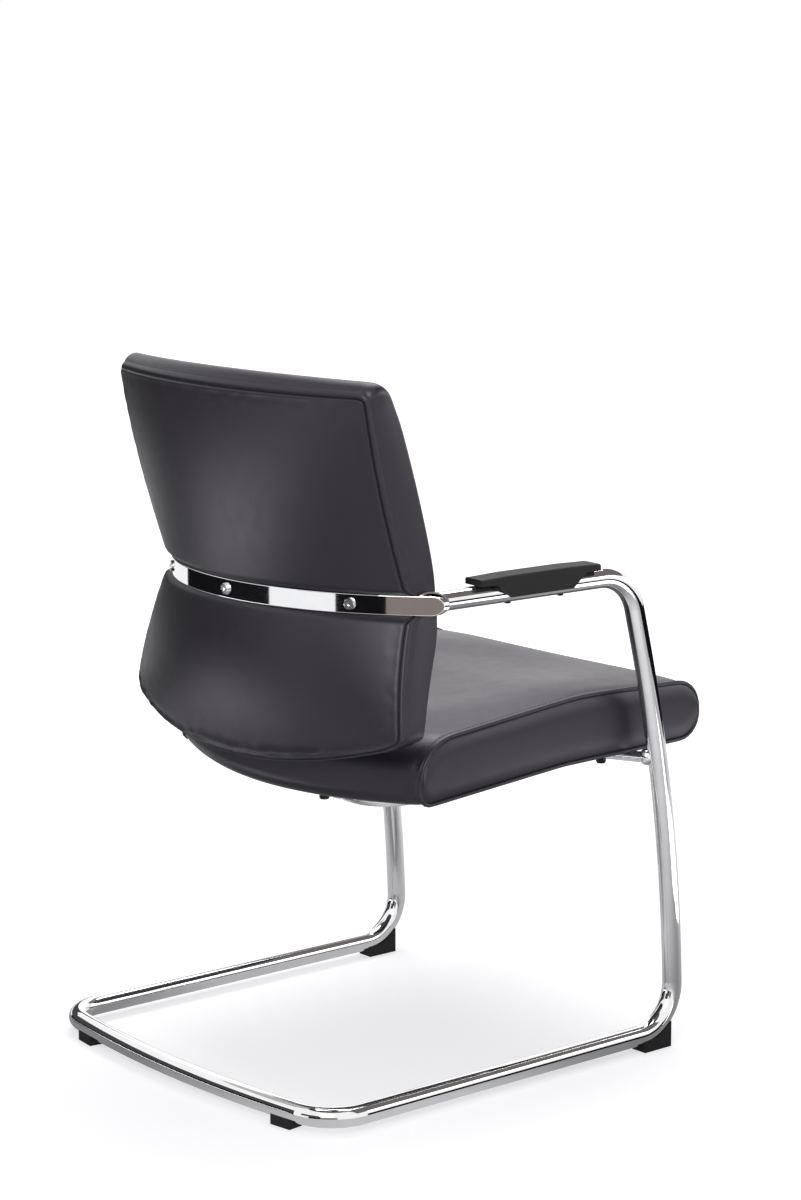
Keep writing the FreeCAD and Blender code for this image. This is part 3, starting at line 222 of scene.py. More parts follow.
def plastic_material():
    """Moulded black plastic with a fine spark-eroded grain."""
    material, tree, shader = node_material("black_plastic")
    grain = texture(tree, "ShaderNodeTexNoise", 1500.0, Detail=2.0)
    cloudy = texture(tree, "ShaderNodeTexNoise", 40.0, Detail=3.0)
    paint(tree, shader, cloudy.outputs["Fac"], PLASTIC_DARK, PLASTIC_LIGHT)
    roughen(tree, shader, cloudy.outputs["Fac"], 0.54, 0.64)
    shader.inputs["Specular IOR Level"].default_value = PLASTIC_GLOSS
    bump(tree, shader, [(grain.outputs["Fac"], 1.0)], 0.18, 0.00015)
    return material


def plywood_material():
    """Raw moulded plywood."""
    material, tree, shader = node_material("moulded_plywood")
    veins = texture(tree, "ShaderNodeTexWave", 30.0, Distortion=6.0, Detail=3.0)
    paint(tree, shader, veins.outputs["Fac"], (0.42, 0.28, 0.15), (0.55, 0.4, 0.25))
    shader.inputs["Roughness"].default_value = 0.7
    bump(tree, shader, [(veins.outputs["Fac"], 1.0)], 0.15, 0.0002)
    return material


leather = leather_material()
thread = thread_material()
chrome = chrome_material()
bright_steel = steel_material("bright_steel", (0.62, 0.62, 0.63), (0.78, 0.78, 0.79), 0.14, 0.24)
black_steel = steel_material("black_steel", (0.02, 0.02, 0.021), (0.045, 0.045, 0.046), 0.35, 0.5)
zinc_steel = steel_material("zinc_steel", (0.5, 0.5, 0.48), (0.66, 0.65, 0.62), 0.3, 0.42)
plastic = plastic_material()
plywood = plywood_material()

# Every node that isn't named here is black plastic or is replaced by a cushion.
NODE_MATERIALS = {
    "frame_tube": chrome,
    "back_band": chrome,
    "seat_support_tube": chrome,
    "back_screws": bright_steel,
    "arm_pad_screws": black_steel,
    "glide_screws": bright_steel,
    "seat_bolts": black_steel,
    "back_tee_nuts": zinc_steel,
    "seat_tee_nuts": zinc_steel,
    "back_board": plywood,
    "seat_board": plywood,
}
for node_name, node_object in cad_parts.items():
    better = NODE_MATERIALS.get(node_name, plastic)
    for material_slot in node_object.material_slots:
        material_slot.material = better


# Soft forms


INFLATE_FRAMES = 20
EVENING_PASSES = 12
COVER_PRESSURE = 3.0
COVER_SWELL = 2.5 * MM


def evened(item, steps, held):
    """Average the steps of neighbouring points, so that no ripples stay; the held points stay put."""
    neighbours = [[] for vertex in item.data.vertices]
    for edge in item.data.edges:
        start, end = edge.vertices
        neighbours[start].append(end)
        neighbours[end].append(start)
    free = set(range(len(steps))) - set(held)
    for number in range(EVENING_PASSES):
        before = list(steps)
        for index in free:
            near = neighbours[index]
            total = sum((before[place] for place in near), before[index])
            steps[index] = total / (len(near) + 1)
    return steps


def inflate(item, pinned):
    """Swell a cover from inside with its seams held, no point moving further than the swell."""
    before = [vertex.co.copy() for vertex in item.data.vertices]
    group = item.vertex_groups.new(name="pinned")
    group.add(pinned, 1.0, "REPLACE")
    cloth = item.modifiers.new("inflate", "CLOTH")
    cloth.settings.quality = 6
    cloth.settings.mass = 0.25
    cloth.settings.tension_stiffness = 25
    cloth.settings.compression_stiffness = 25
    cloth.settings.shear_stiffness = 10
    cloth.settings.bending_stiffness = 4
    cloth.settings.use_pressure = True
    cloth.settings.uniform_pressure_force = COVER_PRESSURE
    cloth.settings.vertex_group_mass = group.name
    cloth.settings.effector_weights.gravity = 0
    cloth.point_cache.frame_start = 1
    cloth.point_cache.frame_end = INFLATE_FRAMES
    for number in range(1, INFLATE_FRAMES + 1):
        scene.frame_set(number)
    swollen = item.evaluated_get(bpy.context.evaluated_depsgraph_get()).data
    steps = [after.co - start for start, after in zip(before, swollen.vertices)]
    for step in steps:
        if step.length > COVER_SWELL:
            step.length = COVER_SWELL
    for vertex, start, step in zip(item.data.vertices, before, evened(item, steps, pinned)):
        vertex.co = start + step
    item.modifiers.remove(cloth)
    item.vertex_groups.remove(group)
    scene.frame_set(1)


def press_rows(item, rows):
    """Move rows of vertices along their normals, in metres: seams sink, ridges rise."""
    normals = [vertex.normal.copy() for vertex in item.data.vertices]
    for indices, depth in rows:
        for index in indices:
            item.data.vertices[index].co += normals[index] * depth


def crease_rows(item, rows):
    """Keep closed rows of edges sharp in the subdivision; each row comes with its sharpness."""
    sharpness = {}
    for row, amount in rows:
        for start, end in zip(row, row[1:] + row[:1]):
            sharpness[(min(start, end), max(start, end))] = amount
    layer = item.data.attributes.new("crease_edge", "FLOAT", "EDGE")
    for edge in item.data.edges:
        layer.data[edge.index].value = sharpness.get(tuple(sorted(edge.vertices)), 0.0)


def mark_painted_seam_shade(item, rows):
    """Note which points lie in a seam, where the leather is made dull to paint the seam's shade as a dark
    line.
    """
    layer = item.data.attributes.new(SEAM_SHADE_MARK, "FLOAT", "POINT")
    for row in rows:
        for index in row:
            layer.data[index].value = 1.0


def subdivide(item):
    """Apply one smooth subdivision; the first vertices keep their numbers."""
    item.modifiers.new("smooth", "SUBSURF").levels = 1
    graph = bpy.context.evaluated_depsgraph_get()
    smooth = bpy.data.meshes.new_from_object(item.evaluated_get(graph), preserve_all_data_layers=True,
                                             depsgraph=graph)
    item.modifiers.clear()
    item.data = smooth
    item.data.shade_smooth()


def pucker(item, amount, wavelength):
    """Small gathers in the cover beside its seams."""
    group = item.vertex_groups.get("pucker")
    normals = [vertex.normal.copy() for vertex in item.data.vertices]
    for vertex in item.data.vertices:
        weight = 0.0
        for membership in vertex.groups:
            if membership.group == group.index:
                weight = membership.weight
        if weight > 0.01:
            wave = noise.noise(vertex.co / wavelength) + 0.5 * noise.noise(vertex.co / wavelength * 2.3)
            vertex.co += normals[vertex.index] * wave * amount * weight


def loop_path(item, indices):
    """Points and normals of a cover along a row of its vertices."""
    vertices = [item.data.vertices[index] for index in indices]
    return [(vertex.co.copy(), vertex.normal.copy()) for vertex in vertices]


def resampled(path, spacing):
    """Points, normals and directions at even distances along an open path."""
    samples = []
    left_over = 0.0
    for (start, start_normal), (end, end_normal) in zip(path, path[1:]):
        length = (end - start).length
        if length == 0:
            continue
        along = (end - start) / length
        distance = left_over
        while distance < length:
            normal = start_normal.lerp(end_normal, distance / length).normalized()
            samples.append((start + along * distance, normal, along))
            distance += spacing
        left_over = distance - length
    return samples


STITCH_LENGTH = 4.6 * MM
STITCH_SPACING = 6.0 * MM
THREAD_RADIUS = 0.42 * MM
# Half length share and radius share of each ring of a stitch.
STITCH_RINGS = ((-1.0, 0.35), (-0.75, 0.9), (0.0, 1.0), (0.75, 0.9), (1.0, 0.35))
STITCH_SIDES = 6


def stitch_rows(name, paths):
    """One mesh of separate stitches lying along paths on a cover."""
    vertices = []
    faces = []
    for path in paths:
        for point, normal, along in resampled(path, STITCH_SPACING):
            across = normal.cross(along).normalized()
            first = len(vertices)
            for reach, width in STITCH_RINGS:
                lift = THREAD_RADIUS * (0.55 - 0.75 * reach ** 2)
                middle = point + along * reach * STITCH_LENGTH / 2 + normal * lift
                for side in range(STITCH_SIDES):
                    angle = 2 * math.pi * side / STITCH_SIDES
                    spoke = across * math.cos(angle) + normal * math.sin(angle)
                    vertices.append(middle + spoke * THREAD_RADIUS * width)
            for ring in range(len(STITCH_RINGS) - 1):
                for side in range(STITCH_SIDES):
                    a = first + ring * STITCH_SIDES + side
                    b = first + ring * STITCH_SIDES + (side + 1) % STITCH_SIDES
                    faces.append((a, b, b + STITCH_SIDES, a + STITCH_SIDES))
            last = first + (len(STITCH_RINGS) - 1) * STITCH_SIDES
            faces.append(tuple(range(first, first + STITCH_SIDES)))
            faces.append(tuple(range(last, last + STITCH_SIDES)))
    return mesh_object(name, vertices, faces, thread)


def tube_along(name, path, radius, sides, material):
    """Closed round cord along a closed path of points and normals."""
    vertices = []
    faces = []
    count = len(path)
    for index, (point, normal) in enumerate(path):
        along = (path[(index + 1) % count][0] - path[index - 1][0]).normalized()
        across = normal.cross(along).normalized()
        for side in range(sides):
            angle = 2 * math.pi * side / sides
            vertices.append(point + (across * math.cos(angle) + normal * math.sin(angle)) * radius)
        for side in range(sides):
            a = index * sides + side
            b = index * sides + (side + 1) % sides
            step = (index + 1) % count * sides
            faces.append((a, b, step + (side + 1) % sides, step + side))
    return mesh_object(name, vertices, faces, material)


def dress(item, slot_name, *nodes):
    """The piece rides with the chair and stands for its nodes, which it hides; the slot name is not used."""
    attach(item, "root")
    if nodes:
        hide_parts(*nodes)


# Arms, which the covers beside them give way to

TUBE_RADIUS = 12.5 * MM
ARM_FRONT = Vector((274.5, -169.3, 617.5)) * MM
ARM_END = Vector((251.0, 127.7, 613.0)) * MM


def clear_of_arms(item, gap):
    """Push a cover's points out of the arm tubes."""
    along = (ARM_END - ARM_FRONT).normalized()
    for vertex in item.data.vertices:
        sign = 1 if vertex.co.x > 0 else -1
        point = Vector((vertex.co.x * sign, vertex.co.y, vertex.co.z))
        reach = (point - ARM_FRONT).dot(along)
        away = point - (ARM_FRONT + along * reach)
        if away.length < TUBE_RADIUS + gap:
            away.length = TUBE_RADIUS + gap
            point = ARM_FRONT + along * reach + away
            vertex.co = Vector((point.x * sign, point.y, point.z))


# Back cushion

band_low, band_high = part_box("back_band")
BAND_RADIUS = 350 * MM
BAND_LEVEL = (band_low[2] + band_high[2]) / 2
BAND_CENTRE_Y = band_high[1] - BAND_RADIUS
VALLEY_RADIUS = 344.6 * MM
VALLEY_HALF = 11 * MM
PINCH_HEIGHT = 8 * MM
PINCH_MIDDLE = 5 * MM
PINCH_SIDE = 24 * MM
REAR_TOP = 858 * MM
REAR_TOP_Y = 267 * MM
REAR_TOP_RADIUS = 700 * MM
HEM = 398 * MM
HEM_Y = 242 * MM
HEM_RADIUS = 736 * MM
HALF_TOP = 243 * MM
HALF_WAIST = 238 * MM
HALF_HEM = 264 * MM
CORNER_HEIGHT = 450 * MM
LOWEST = 407 * MM
BAND_ROWS_LOW = 580 * MM
BAND_ROWS_HIGH = 638 * MM
EDGE_STEPS = tuple(step * MM for step in (0.0, 1.7, 4.5, 8.5, 15.0))
BACK_SPACING = 11 * MM
BAND_ROW_SPACING = 4 * MM
WIDTH_CROWN = 1 * MM
REAR_UPPER_CROWN = 7 * MM
REAR_LOWER_CROWN = 13 * MM


def set_back(radius, x):
    """How far an arc of that radius falls back at X from its middle."""
    return radius - math.sqrt(radius ** 2 - x ** 2)


def across(x, middle, side):
    """A size that changes from the middle of the back to its lower corners."""
    return side + (middle - side) * max(1 - (x / HALF_HEM) ** 2, 0)


def bowed(start, end, share, crown):
    """Between two values with a parabolic crown."""
    return mix(start, end, share) + crown * 4 * share * (1 - share)


def half_width(z):
    """Half of the back's width: waisted at the band, flared to the lower corners."""
    if z > BAND_LEVEL:
        share = min((z - BAND_LEVEL) / (REAR_TOP - BAND_LEVEL), 1.0)
        return bowed(HALF_WAIST, HALF_TOP, share, WIDTH_CROWN)
    return mix(HALF_WAIST, HALF_HEM, min((BAND_LEVEL - z) / (BAND_LEVEL - CORNER_HEIGHT), 1.05))


def bottom_edge(x):
    """Height of the bowed lower edge."""
    sagitta = CORNER_HEIGHT - LOWEST
    radius = (HALF_HEM ** 2 + sagitta ** 2) / (2 * sagitta)
    return LOWEST + set_back(radius, min(abs(x), HALF_HEM))


def valley_y(x):
    """Rear face behind the band."""
    return BAND_CENTRE_Y + math.sqrt(VALLEY_RADIUS ** 2 - x ** 2)


def rear_y(x, z):
    """Rear face: crowned halves that draw in to the band."""
    valley = valley_y(x)
    pinch = across(x, PINCH_MIDDLE, PINCH_SIDE)
    lift = abs(z - BAND_LEVEL) - VALLEY_HALF
    if lift < PINCH_HEIGHT:
        return valley + pinch * math.sin(max(lift, 0) / PINCH_HEIGHT * math.pi / 2)
    if z > BAND_LEVEL:
        foot = BAND_LEVEL + VALLEY_HALF + PINCH_HEIGHT
        top = REAR_TOP_Y - set_back(REAR_TOP_RADIUS, x)
        return bowed(valley + pinch, top, min((z - foot) / (REAR_TOP - foot), 1.0), REAR_UPPER_CROWN)
    foot = BAND_LEVEL - VALLEY_HALF - PINCH_HEIGHT
    hem = HEM_Y - set_back(HEM_RADIUS, x)
    return bowed(valley + pinch, hem, min((foot - z) / (foot - HEM), 1.0), REAR_LOWER_CROWN)


# Depths of the back from its rear to its front, in the middle and at the sides.
WAIST_MIDDLE_DEPTH = 50 * MM
WAIST_SIDE_DEPTH = 28 * MM
TOP_MIDDLE_DEPTH = 46 * MM
TOP_SIDE_DEPTH = 41 * MM
HEM_MIDDLE_DEPTH = 40 * MM
HEM_SIDE_DEPTH = 33 * MM
LUMBAR_HALF = 30 * MM
LUMBAR_CROWN = 2.5 * MM
TOP_ROLL = 8 * MM
TOP_ROLL_HEIGHT = 24 * MM
FRONT_UPPER_CROWN = -3 * MM
FRONT_LOWER_MIDDLE_CROWN = -4 * MM
FRONT_LOWER_SIDE_CROWN = 12 * MM
BACK_LEAN = 16


def top_depth(x):
    return across(x, TOP_MIDDLE_DEPTH, TOP_SIDE_DEPTH)


def front_profile(x, z, top):
    """Front face: one soft lumbar bow between a leaning upper and a lower half."""
    lumbar = valley_y(x) - across(x, WAIST_MIDDLE_DEPTH, WAIST_SIDE_DEPTH)
    knee = lumbar + LUMBAR_CROWN
    if abs(z - BAND_LEVEL) < LUMBAR_HALF:
        return lumbar + LUMBAR_CROWN * ((z - BAND_LEVEL) / LUMBAR_HALF) ** 2
    if z > BAND_LEVEL:
        foot = BAND_LEVEL + LUMBAR_HALF
        share = min((z - foot) / (top - foot), 1.0)
        upper = REAR_TOP_Y - set_back(REAR_TOP_RADIUS, x) - top_depth(x)
        roll = max(1 - (top - z) / TOP_ROLL_HEIGHT, 0) ** 2
        return bowed(knee, upper, share, FRONT_UPPER_CROWN) + TOP_ROLL * roll
    foot = BAND_LEVEL - LUMBAR_HALF
    share = min((foot - z) / (foot - HEM), 1.0)
    lower = HEM_Y - set_back(HEM_RADIUS, x) - across(x, HEM_MIDDLE_DEPTH, HEM_SIDE_DEPTH)
    return bowed(knee, lower, share, across(x, FRONT_LOWER_MIDDLE_CROWN, FRONT_LOWER_SIDE_CROWN))


KNEE_SPREAD = 26 * MM
KNEE_SAMPLES = (-1.0, -0.5, 0.0, 0.5, 1.0)


def front_y(x, z, top):
    """The profile with its knees rounded off by averaging over a short height."""
    spread = max(min(KNEE_SPREAD, z - bottom_edge(x), top - z), 0)
    samples = [front_profile(x, z + share * spread, top) for share in KNEE_SAMPLES]
    return sum(samples) / len(samples)


def front_top(x):
    """Height of the front's upper seam, which stands square to the leaning back."""
    return REAR_TOP + top_depth(x) * math.tan(math.radians(BACK_LEAN))


def rounded_corner(x, z, corner_x, corner_z, sign_x, sign_z, radius):
    """Round a square corner of the outline by the disc mapping of its last stretch."""
    a = 1 - (corner_x - x) * sign_x / radius
    b = 1 - (corner_z - z) * sign_z / radius
    if a <= 0 or b <= 0:
        return x, z
    a = min(a, 1.0)
    b = min(b, 1.0)
    inset_x = (1 - a * math.sqrt(1 - b * b / 2)) * radius
    inset_z = (1 - b * math.sqrt(1 - a * a / 2)) * radius
    return corner_x - sign_x * inset_x, corner_z - sign_z * inset_z


def back_rows(x, top):
    """Heights of the grid's rows at X, fine beside the edges and the band."""
    low = bottom_edge(x)
    lower = steps_from_edge(BAND_ROWS_LOW - LOWEST, EDGE_STEPS, BACK_SPACING)
    lower = [low + step * (BAND_ROWS_LOW - low) / (BAND_ROWS_LOW - LOWEST) for step in lower]
    count = round((BAND_ROWS_HIGH - BAND_ROWS_LOW) / BAND_ROW_SPACING)
    middle = [mix(BAND_ROWS_LOW, BAND_ROWS_HIGH, number / count) for number in range(1, count)]
    upper = steps_from_edge(REAR_TOP - BAND_ROWS_HIGH, EDGE_STEPS, BACK_SPACING)
    upper = [top - step * (top - BAND_ROWS_HIGH) / (REAR_TOP - BAND_ROWS_HIGH) for step in reversed(upper)]
    return lower + middle + upper


# Columns as shares of the half width.
back_steps = steps_between_edges(2 * HALF_TOP, EDGE_STEPS, BACK_SPACING)
BACK_COLUMNS = [step / HALF_TOP - 1 for step in back_steps]
LOW_CORNER_RADIUS = 12 * MM
TOP_CORNER_RADIUS = 9 * MM


def back_grid(front):
    """Columns of points on the rear or the front face."""
    columns = []
    for share in BACK_COLUMNS:
        column = []
        top = front_top(share * HALF_TOP) if front else REAR_TOP
        for row_height in back_rows(share * HALF_HEM, top):
            x = share * half_width(row_height)
            z = row_height
            sign = 1 if x > 0 else -1
            low_x = sign * half_width(bottom_edge(HALF_HEM))
            x, z = rounded_corner(x, z, low_x, bottom_edge(HALF_HEM), sign, -1, LOW_CORNER_RADIUS)
            x, z = rounded_corner(x, z, sign * half_width(top), top, sign, 1, TOP_CORNER_RADIUS)
            y = front_y(x, z, top) if front else rear_y(x, z)
            column.append(Vector((x, y, z)))
        columns.append(column)
    return columns


# Rings of the boxing, as shares of the way from the rear to the front seam.
BOXING_SHARES = (0.05, 0.12, 0.18, 0.26, 0.38, 0.5, 0.62, 0.74, 0.86, 0.95)
STITCHED_RING = 3
SIDE_SWELL = 3 * MM
HEM_SWELL = 2.5 * MM
TOP_MIDDLE_SWELL = 13.5 * MM
TOP_SIDE_SWELL = 11 * MM


def back_cushion():
    """Closed cover of rear panel, front panel and the boxing between their seams."""
    rear = back_grid(False)
    front = back_grid(True)
    columns = len(rear)
    rows = len(rear[0])
    vertices = [point for column in rear for point in column]
    first_front = len(vertices)
    vertices += [point for column in front for point in column]
    faces = []
    for first in (0, first_front):
        for column in range(columns - 1):
            for row in range(rows - 1):
                a = first + column * rows + row
                faces.append((a, a + 1, a + rows + 1, a + rows))
    ring = [(column, 0) for column in range(columns)]
    ring += [(columns - 1, row) for row in range(1, rows)]
    ring += [(column, rows - 1) for column in range(columns - 2, -1, -1)]
    ring += [(0, row) for row in range(rows - 2, 0, -1)]
    rear_seam = [column * rows + row for column, row in ring]
    front_seam = [first_front + index for index in rear_seam]
    rings = [rear_seam]
    count = len(ring)
    for share in BOXING_SHARES:
        first = len(vertices)
        for place in range(count):
            start = vertices[rear_seam[place]]
            end = vertices[front_seam[place]]
            along = vertices[rear_seam[(place + 1) % count]] - vertices[rear_seam[place - 1]]
            outward = Vector((along.z, 0, -along.x)).normalized()
            swell = mix(SIDE_SWELL, HEM_SWELL, max(-outward.z, 0))
            top_swell = across(start.x, TOP_MIDDLE_SWELL, TOP_SIDE_SWELL)
            swell = mix(swell, top_swell, max(outward.z, 0))
            vertices.append(start.lerp(end, share) + outward * swell * 4 * share * (1 - share))
        rings.append(list(range(first, first + count)))
    rings.append(front_seam)
    for inner, outer in zip(rings, rings[1:]):
        for place in range(count):
            after = (place + 1) % count
            faces.append((inner[place], inner[after], outer[after], outer[place]))
    item = mesh_object("back_cushion", vertices, faces, leather)
    return item, rings, ring, rows, columns


cushion, back_rings, back_ring, back_row_count, back_column_count = back_cushion()
HELD_BY_BAND = 20 * MM
band_rows = [index for index in range(back_column_count * back_row_count)
             if abs(cushion.data.vertices[index].co.z - BAND_LEVEL) < HELD_BY_BAND]
inflate(cushion, back_rings[0] + back_rings[-1] + band_rows)


def rear_row(inset):
    """Vertices of the rear panel that lie a number of rows inside its seam."""
    last_column = back_column_count - 1 - inset
    last_row = back_row_count - 1 - inset
    around = [(column, inset) for column in range(inset, last_column + 1)]
    around += [(last_column, row) for row in range(inset + 1, last_row + 1)]
    around += [(column, last_row) for column in range(last_column - 1, inset - 1, -1)]
    around += [(inset, row) for row in range(last_row - 1, inset, -1)]
    return [column * back_row_count + row for column, row in around]


def hem_row(inset):
    """Vertices of the rear panel along its hem, a number of rows inside the seam."""
    return [column * back_row_count + inset for column in range(inset, back_column_count - inset)]


HEM_STITCHED_ROW = 3
hem_stitch = hem_row(HEM_STITCHED_ROW)
press_rows(cushion, (
    (back_rings[0], -2.4 * MM),
    (back_rings[1], 0.6 * MM),
    (back_rings[2], 0.5 * MM),
    (back_rings[STITCHED_RING], -0.8 * MM),
    (back_rings[STITCHED_RING + 1], 0.4 * MM),
    (rear_row(1), 0.7 * MM),
    (rear_row(2), 0.5 * MM),
    (hem_stitch, -1.5 * MM),
    (rear_row(4), 0.3 * MM),
    (back_rings[-1], -2.4 * MM),
    (back_rings[-2], 0.6 * MM),
))
crease_rows(cushion, ((back_rings[0], 1.0), (back_rings[-1], 1.0), (back_rings[STITCHED_RING], 0.6)))
# Painted shade: the back's seams get almost no sheen, so they read as dark lines.
mark_painted_seam_shade(cushion, (back_rings[0], back_rings[-1]))
pucker_group = cushion.vertex_groups.new(name="pucker")
SEAM_PUCKER = 0.35
for inset, weight in ((1, 0.6), (2, 1.0), (3, 0.8), (4, 0.4)):
    pucker_group.add(rear_row(inset), weight * SEAM_PUCKER, "REPLACE")
    pucker_group.add(hem_row(inset), weight, "REPLACE")
subdivide(cushion)
pucker(cushion, amount=1.7 * MM, wavelength=14 * MM)
clear_of_arms(cushion, gap=0.6 * MM)
dress(cushion, "black_leather", "back_rear_panel", "back_front_panel", "back_boxing_strip", "back_top_panel",
      "back_rear_padding", "back_foam")

boxing_row = [index for place, index in enumerate(back_rings[STITCHED_RING]) if back_ring[place][1] > 0]
back_stitches = stitch_rows("back_topstitch", [loop_path(cushion, row) for row in (boxing_row, hem_stitch)])
dress(back_stitches, "black_leather")


# Seat cushion

HALF_SEAT = 240 * MM
SEAT_SPACING = 11 * MM
# Corners of the seat's upright outline in millimetres, clockwise from the upper front one: Y at the sides and
# its bow in the middle, Z at the sides and its bow, the ridge beside the side seam, and the rounding.
NOSE_TOP = (-331, -8, 459, 0, 0, 38)
CREST = (-123, 0, 465, 0, 8, 500)
TAIL_TOP = (131, 46, 440, 9, 0, 52)
TAIL_BOTTOM = (135, 60, 364, -12, 0, 12)
HEEL = (105, 45, 366, 0, 0, 40)
BELLY = (-95, 0, 382, 7, 0, 300)
NOSE_BOTTOM = (-331, -8, 386, 0, 0, 33)
SEAT_CORNERS = (NOSE_TOP, CREST, TAIL_TOP, TAIL_BOTTOM, HEEL, BELLY, NOSE_BOTTOM)


def seat_corners(share):
    """Corners as (Y, Z, rounding) at a share of the half width."""
    bow = 1 - share ** 2
    beside_seam = math.sin(math.pi * share ** 2)
    corners = []
    for y, y_bow, z, z_bow, ridge, rounding in SEAT_CORNERS:
        corner_y = (y + y_bow * bow) * MM
        corner_z = (z + z_bow * bow + ridge * beside_seam) * MM
        corners.append((corner_y, corner_z, rounding * MM))
    return corners


# Points on each corner's arc and on the straight run after it.
ARC_POINTS = (8, 6, 9, 4, 3, 5, 8)
RUN_POINTS = (15, 17, 8, 4, 13, 16, 4)
# Point of the outline, counted back from its end, where the upper and lower half of a side seam part.
NOSE_PLACE = 2


def seat_outline(share):
    """Closed list of (Y, Z) points, lines and arcs, starting at the upper front corner."""
    corners = seat_corners(share)
    count = len(corners)
    arcs = []
    for index in range(count):
        y, z, rounding = corners[index]
        corner = Vector((y, z))
        towards = (Vector(corners[index - 1][:2]) - corner).normalized()
        away = (Vector(corners[(index + 1) % count][:2]) - corner).normalized()
        turn = math.pi - towards.angle(away)
        reach = rounding * math.tan(turn / 2)
        centre = corner + (towards + away).normalized() * rounding / math.cos(turn / 2)
        start = (corner + towards * reach - centre).normalized()
        end = (corner + away * reach - centre).normalized()
        last = ARC_POINTS[index] - 1
        spokes = [start.slerp(end, number / last) for number in range(last + 1)]
        arcs.append([centre + spoke * rounding for spoke in spokes])
    points = []
    for index in range(count):
        points += arcs[index]
        start = arcs[index][-1]
        end = arcs[(index + 1) % count][0]
        for number in range(1, RUN_POINTS[index] + 1):
            points.append(start.lerp(end, number / (RUN_POINTS[index] + 1)))
    return points


seat_steps = steps_between_edges(2 * HALF_SEAT, EDGE_STEPS, SEAT_SPACING)
SEAT_COLUMNS = [step / HALF_SEAT - 1 for step in seat_steps]
# Shares of the way from the upper to the lower half of a side seam.
PANEL_SHARES = (0.035, 0.08, 0.14, 0.22, 0.32, 0.44, 0.56, 0.68, 0.78, 0.86, 0.92, 0.965)
PANEL_SWELL = 5 * MM
PANEL_ROLL = 24 * MM


def side_panel(vertices, faces, loop, sign):
    """Crowned panel sewn in between the upper and the lower half of a side seam."""
    count = len(loop)
    nose = count - NOSE_PLACE
    upper = [loop[(nose + step) % count] for step in range(count // 2 + 1)]
    lower = [loop[nose - step] for step in range(count // 2 + 1)]
    rungs = []
    for start, end in zip(upper[1:-1], lower[1:-1]):
        rung = [start]
        length = (vertices[end] - vertices[start]).length
        for share in PANEL_SHARES:
            rise = 1 - max(1 - min(share, 1 - share) * length / PANEL_ROLL, 0) ** 2
            rung.append(len(vertices))
            swell = Vector((sign * PANEL_SWELL * rise, 0, 0))
            vertices.append(vertices[start].lerp(vertices[end], share) + swell)
        rungs.append(rung + [end])
    for rung, after in zip(rungs, rungs[1:]):
        for place in range(len(rung) - 1):
            faces.append((rung[place], rung[place + 1], after[place + 1], after[place]))
    for tip, rung in ((upper[0], rungs[0]), (upper[-1], rungs[-1])):
        for place in range(len(rung) - 1):
            faces.append((tip, rung[place], rung[place + 1]))


def seat_cushion():
    """Main cover wrapped round the seat with a panel in each side."""
    vertices = []
    faces = []
    loops = []
    for share in SEAT_COLUMNS:
        first = len(vertices)
        vertices += [Vector((share * HALF_SEAT, y, z)) for y, z in seat_outline(share)]
        loops.append(list(range(first, len(vertices))))
    count = len(loops[0])
    for inner, outer in zip(loops, loops[1:]):
        for place in range(count):
            after = (place + 1) % count
            faces.append((inner[place], inner[after], outer[after], outer[place]))
    side_panel(vertices, faces, loops[0], -1)
    side_panel(vertices, faces, loops[-1], 1)
    return mesh_object("seat_cushion", vertices, faces, leather), loops


DISH_MIDDLE = Vector((0, -85 * MM))
DISH_HALF_WIDTH = 225 * MM
DISH_HALF_LENGTH = 215 * MM
DISH_DEPTH = 5 * MM
DISH_RIM = 0.45


def press_dish(item):
    """Sitting hollow in the top with a soft rim."""
    for vertex in item.data.vertices:
        if vertex.normal.z < 0.5:
            continue
        wide = (vertex.co.x - DISH_MIDDLE.x) / DISH_HALF_WIDTH
        long = (vertex.co.y - DISH_MIDDLE.y) / DISH_HALF_LENGTH
        inside = min(max((1 - math.hypot(wide, long)) / DISH_RIM, 0), 1)
        vertex.co.z -= DISH_DEPTH * inside * inside * (3 - 2 * inside)


seat, seat_loops = seat_cushion()
inflate(seat, seat_loops[0] + seat_loops[-1])
press_dish(seat)
press_rows(seat, (
    (seat_loops[0] + seat_loops[-1], -1.2 * MM),
    (seat_loops[1] + seat_loops[-2], -0.4 * MM),
    (seat_loops[2] + seat_loops[-3], 0.7 * MM),
    (seat_loops[3] + seat_loops[-4], -0.9 * MM),
    (seat_loops[4] + seat_loops[-5], 0.3 * MM),
))
side_seams = (seat_loops[0], seat_loops[-1])
stitched_loops = (seat_loops[3], seat_loops[-4])
crease_rows(seat, [(loop, 1.0) for loop in side_seams] + [(loop, 0.6) for loop in stitched_loops])
# Painted shade: the seat's side seams get almost no sheen, so they read as dark lines.
mark_painted_seam_shade(seat, side_seams)
seat_pucker = seat.vertex_groups.new(name="pucker")
for inset, weight in ((2, 0.3), (3, 0.4), (4, 0.5), (5, 0.3)):
    seat_pucker.add(seat_loops[inset] + seat_loops[-1 - inset], weight, "REPLACE")
subdivide(seat)
pucker(seat, amount=0.7 * MM, wavelength=18 * MM)
dress(seat, "black_leather", "seat_main_cover", "seat_foam", "seat_side_panel_left", "seat_side_panel_right")

PIPING_RADIUS = 2.5 * MM
PIPING_RISE = 1.4 * MM
PIPING_SIDES = 12
for side_name, loop in zip(("right", "left"), side_seams):
    path = [(point + normal * PIPING_RISE, normal) for point, normal in loop_path(seat, loop)]
    piping = tube_along("seat_welt_" + side_name, path, PIPING_RADIUS, PIPING_SIDES, leather)
    dress(piping, "black_leather", "seat_piping_" + side_name)
seat_stitches = stitch_rows("seat_topstitch", [loop_path(seat, loop + loop[:1]) for loop in stitched_loops])
dress(seat_stitches, "black_leather")


# Studio


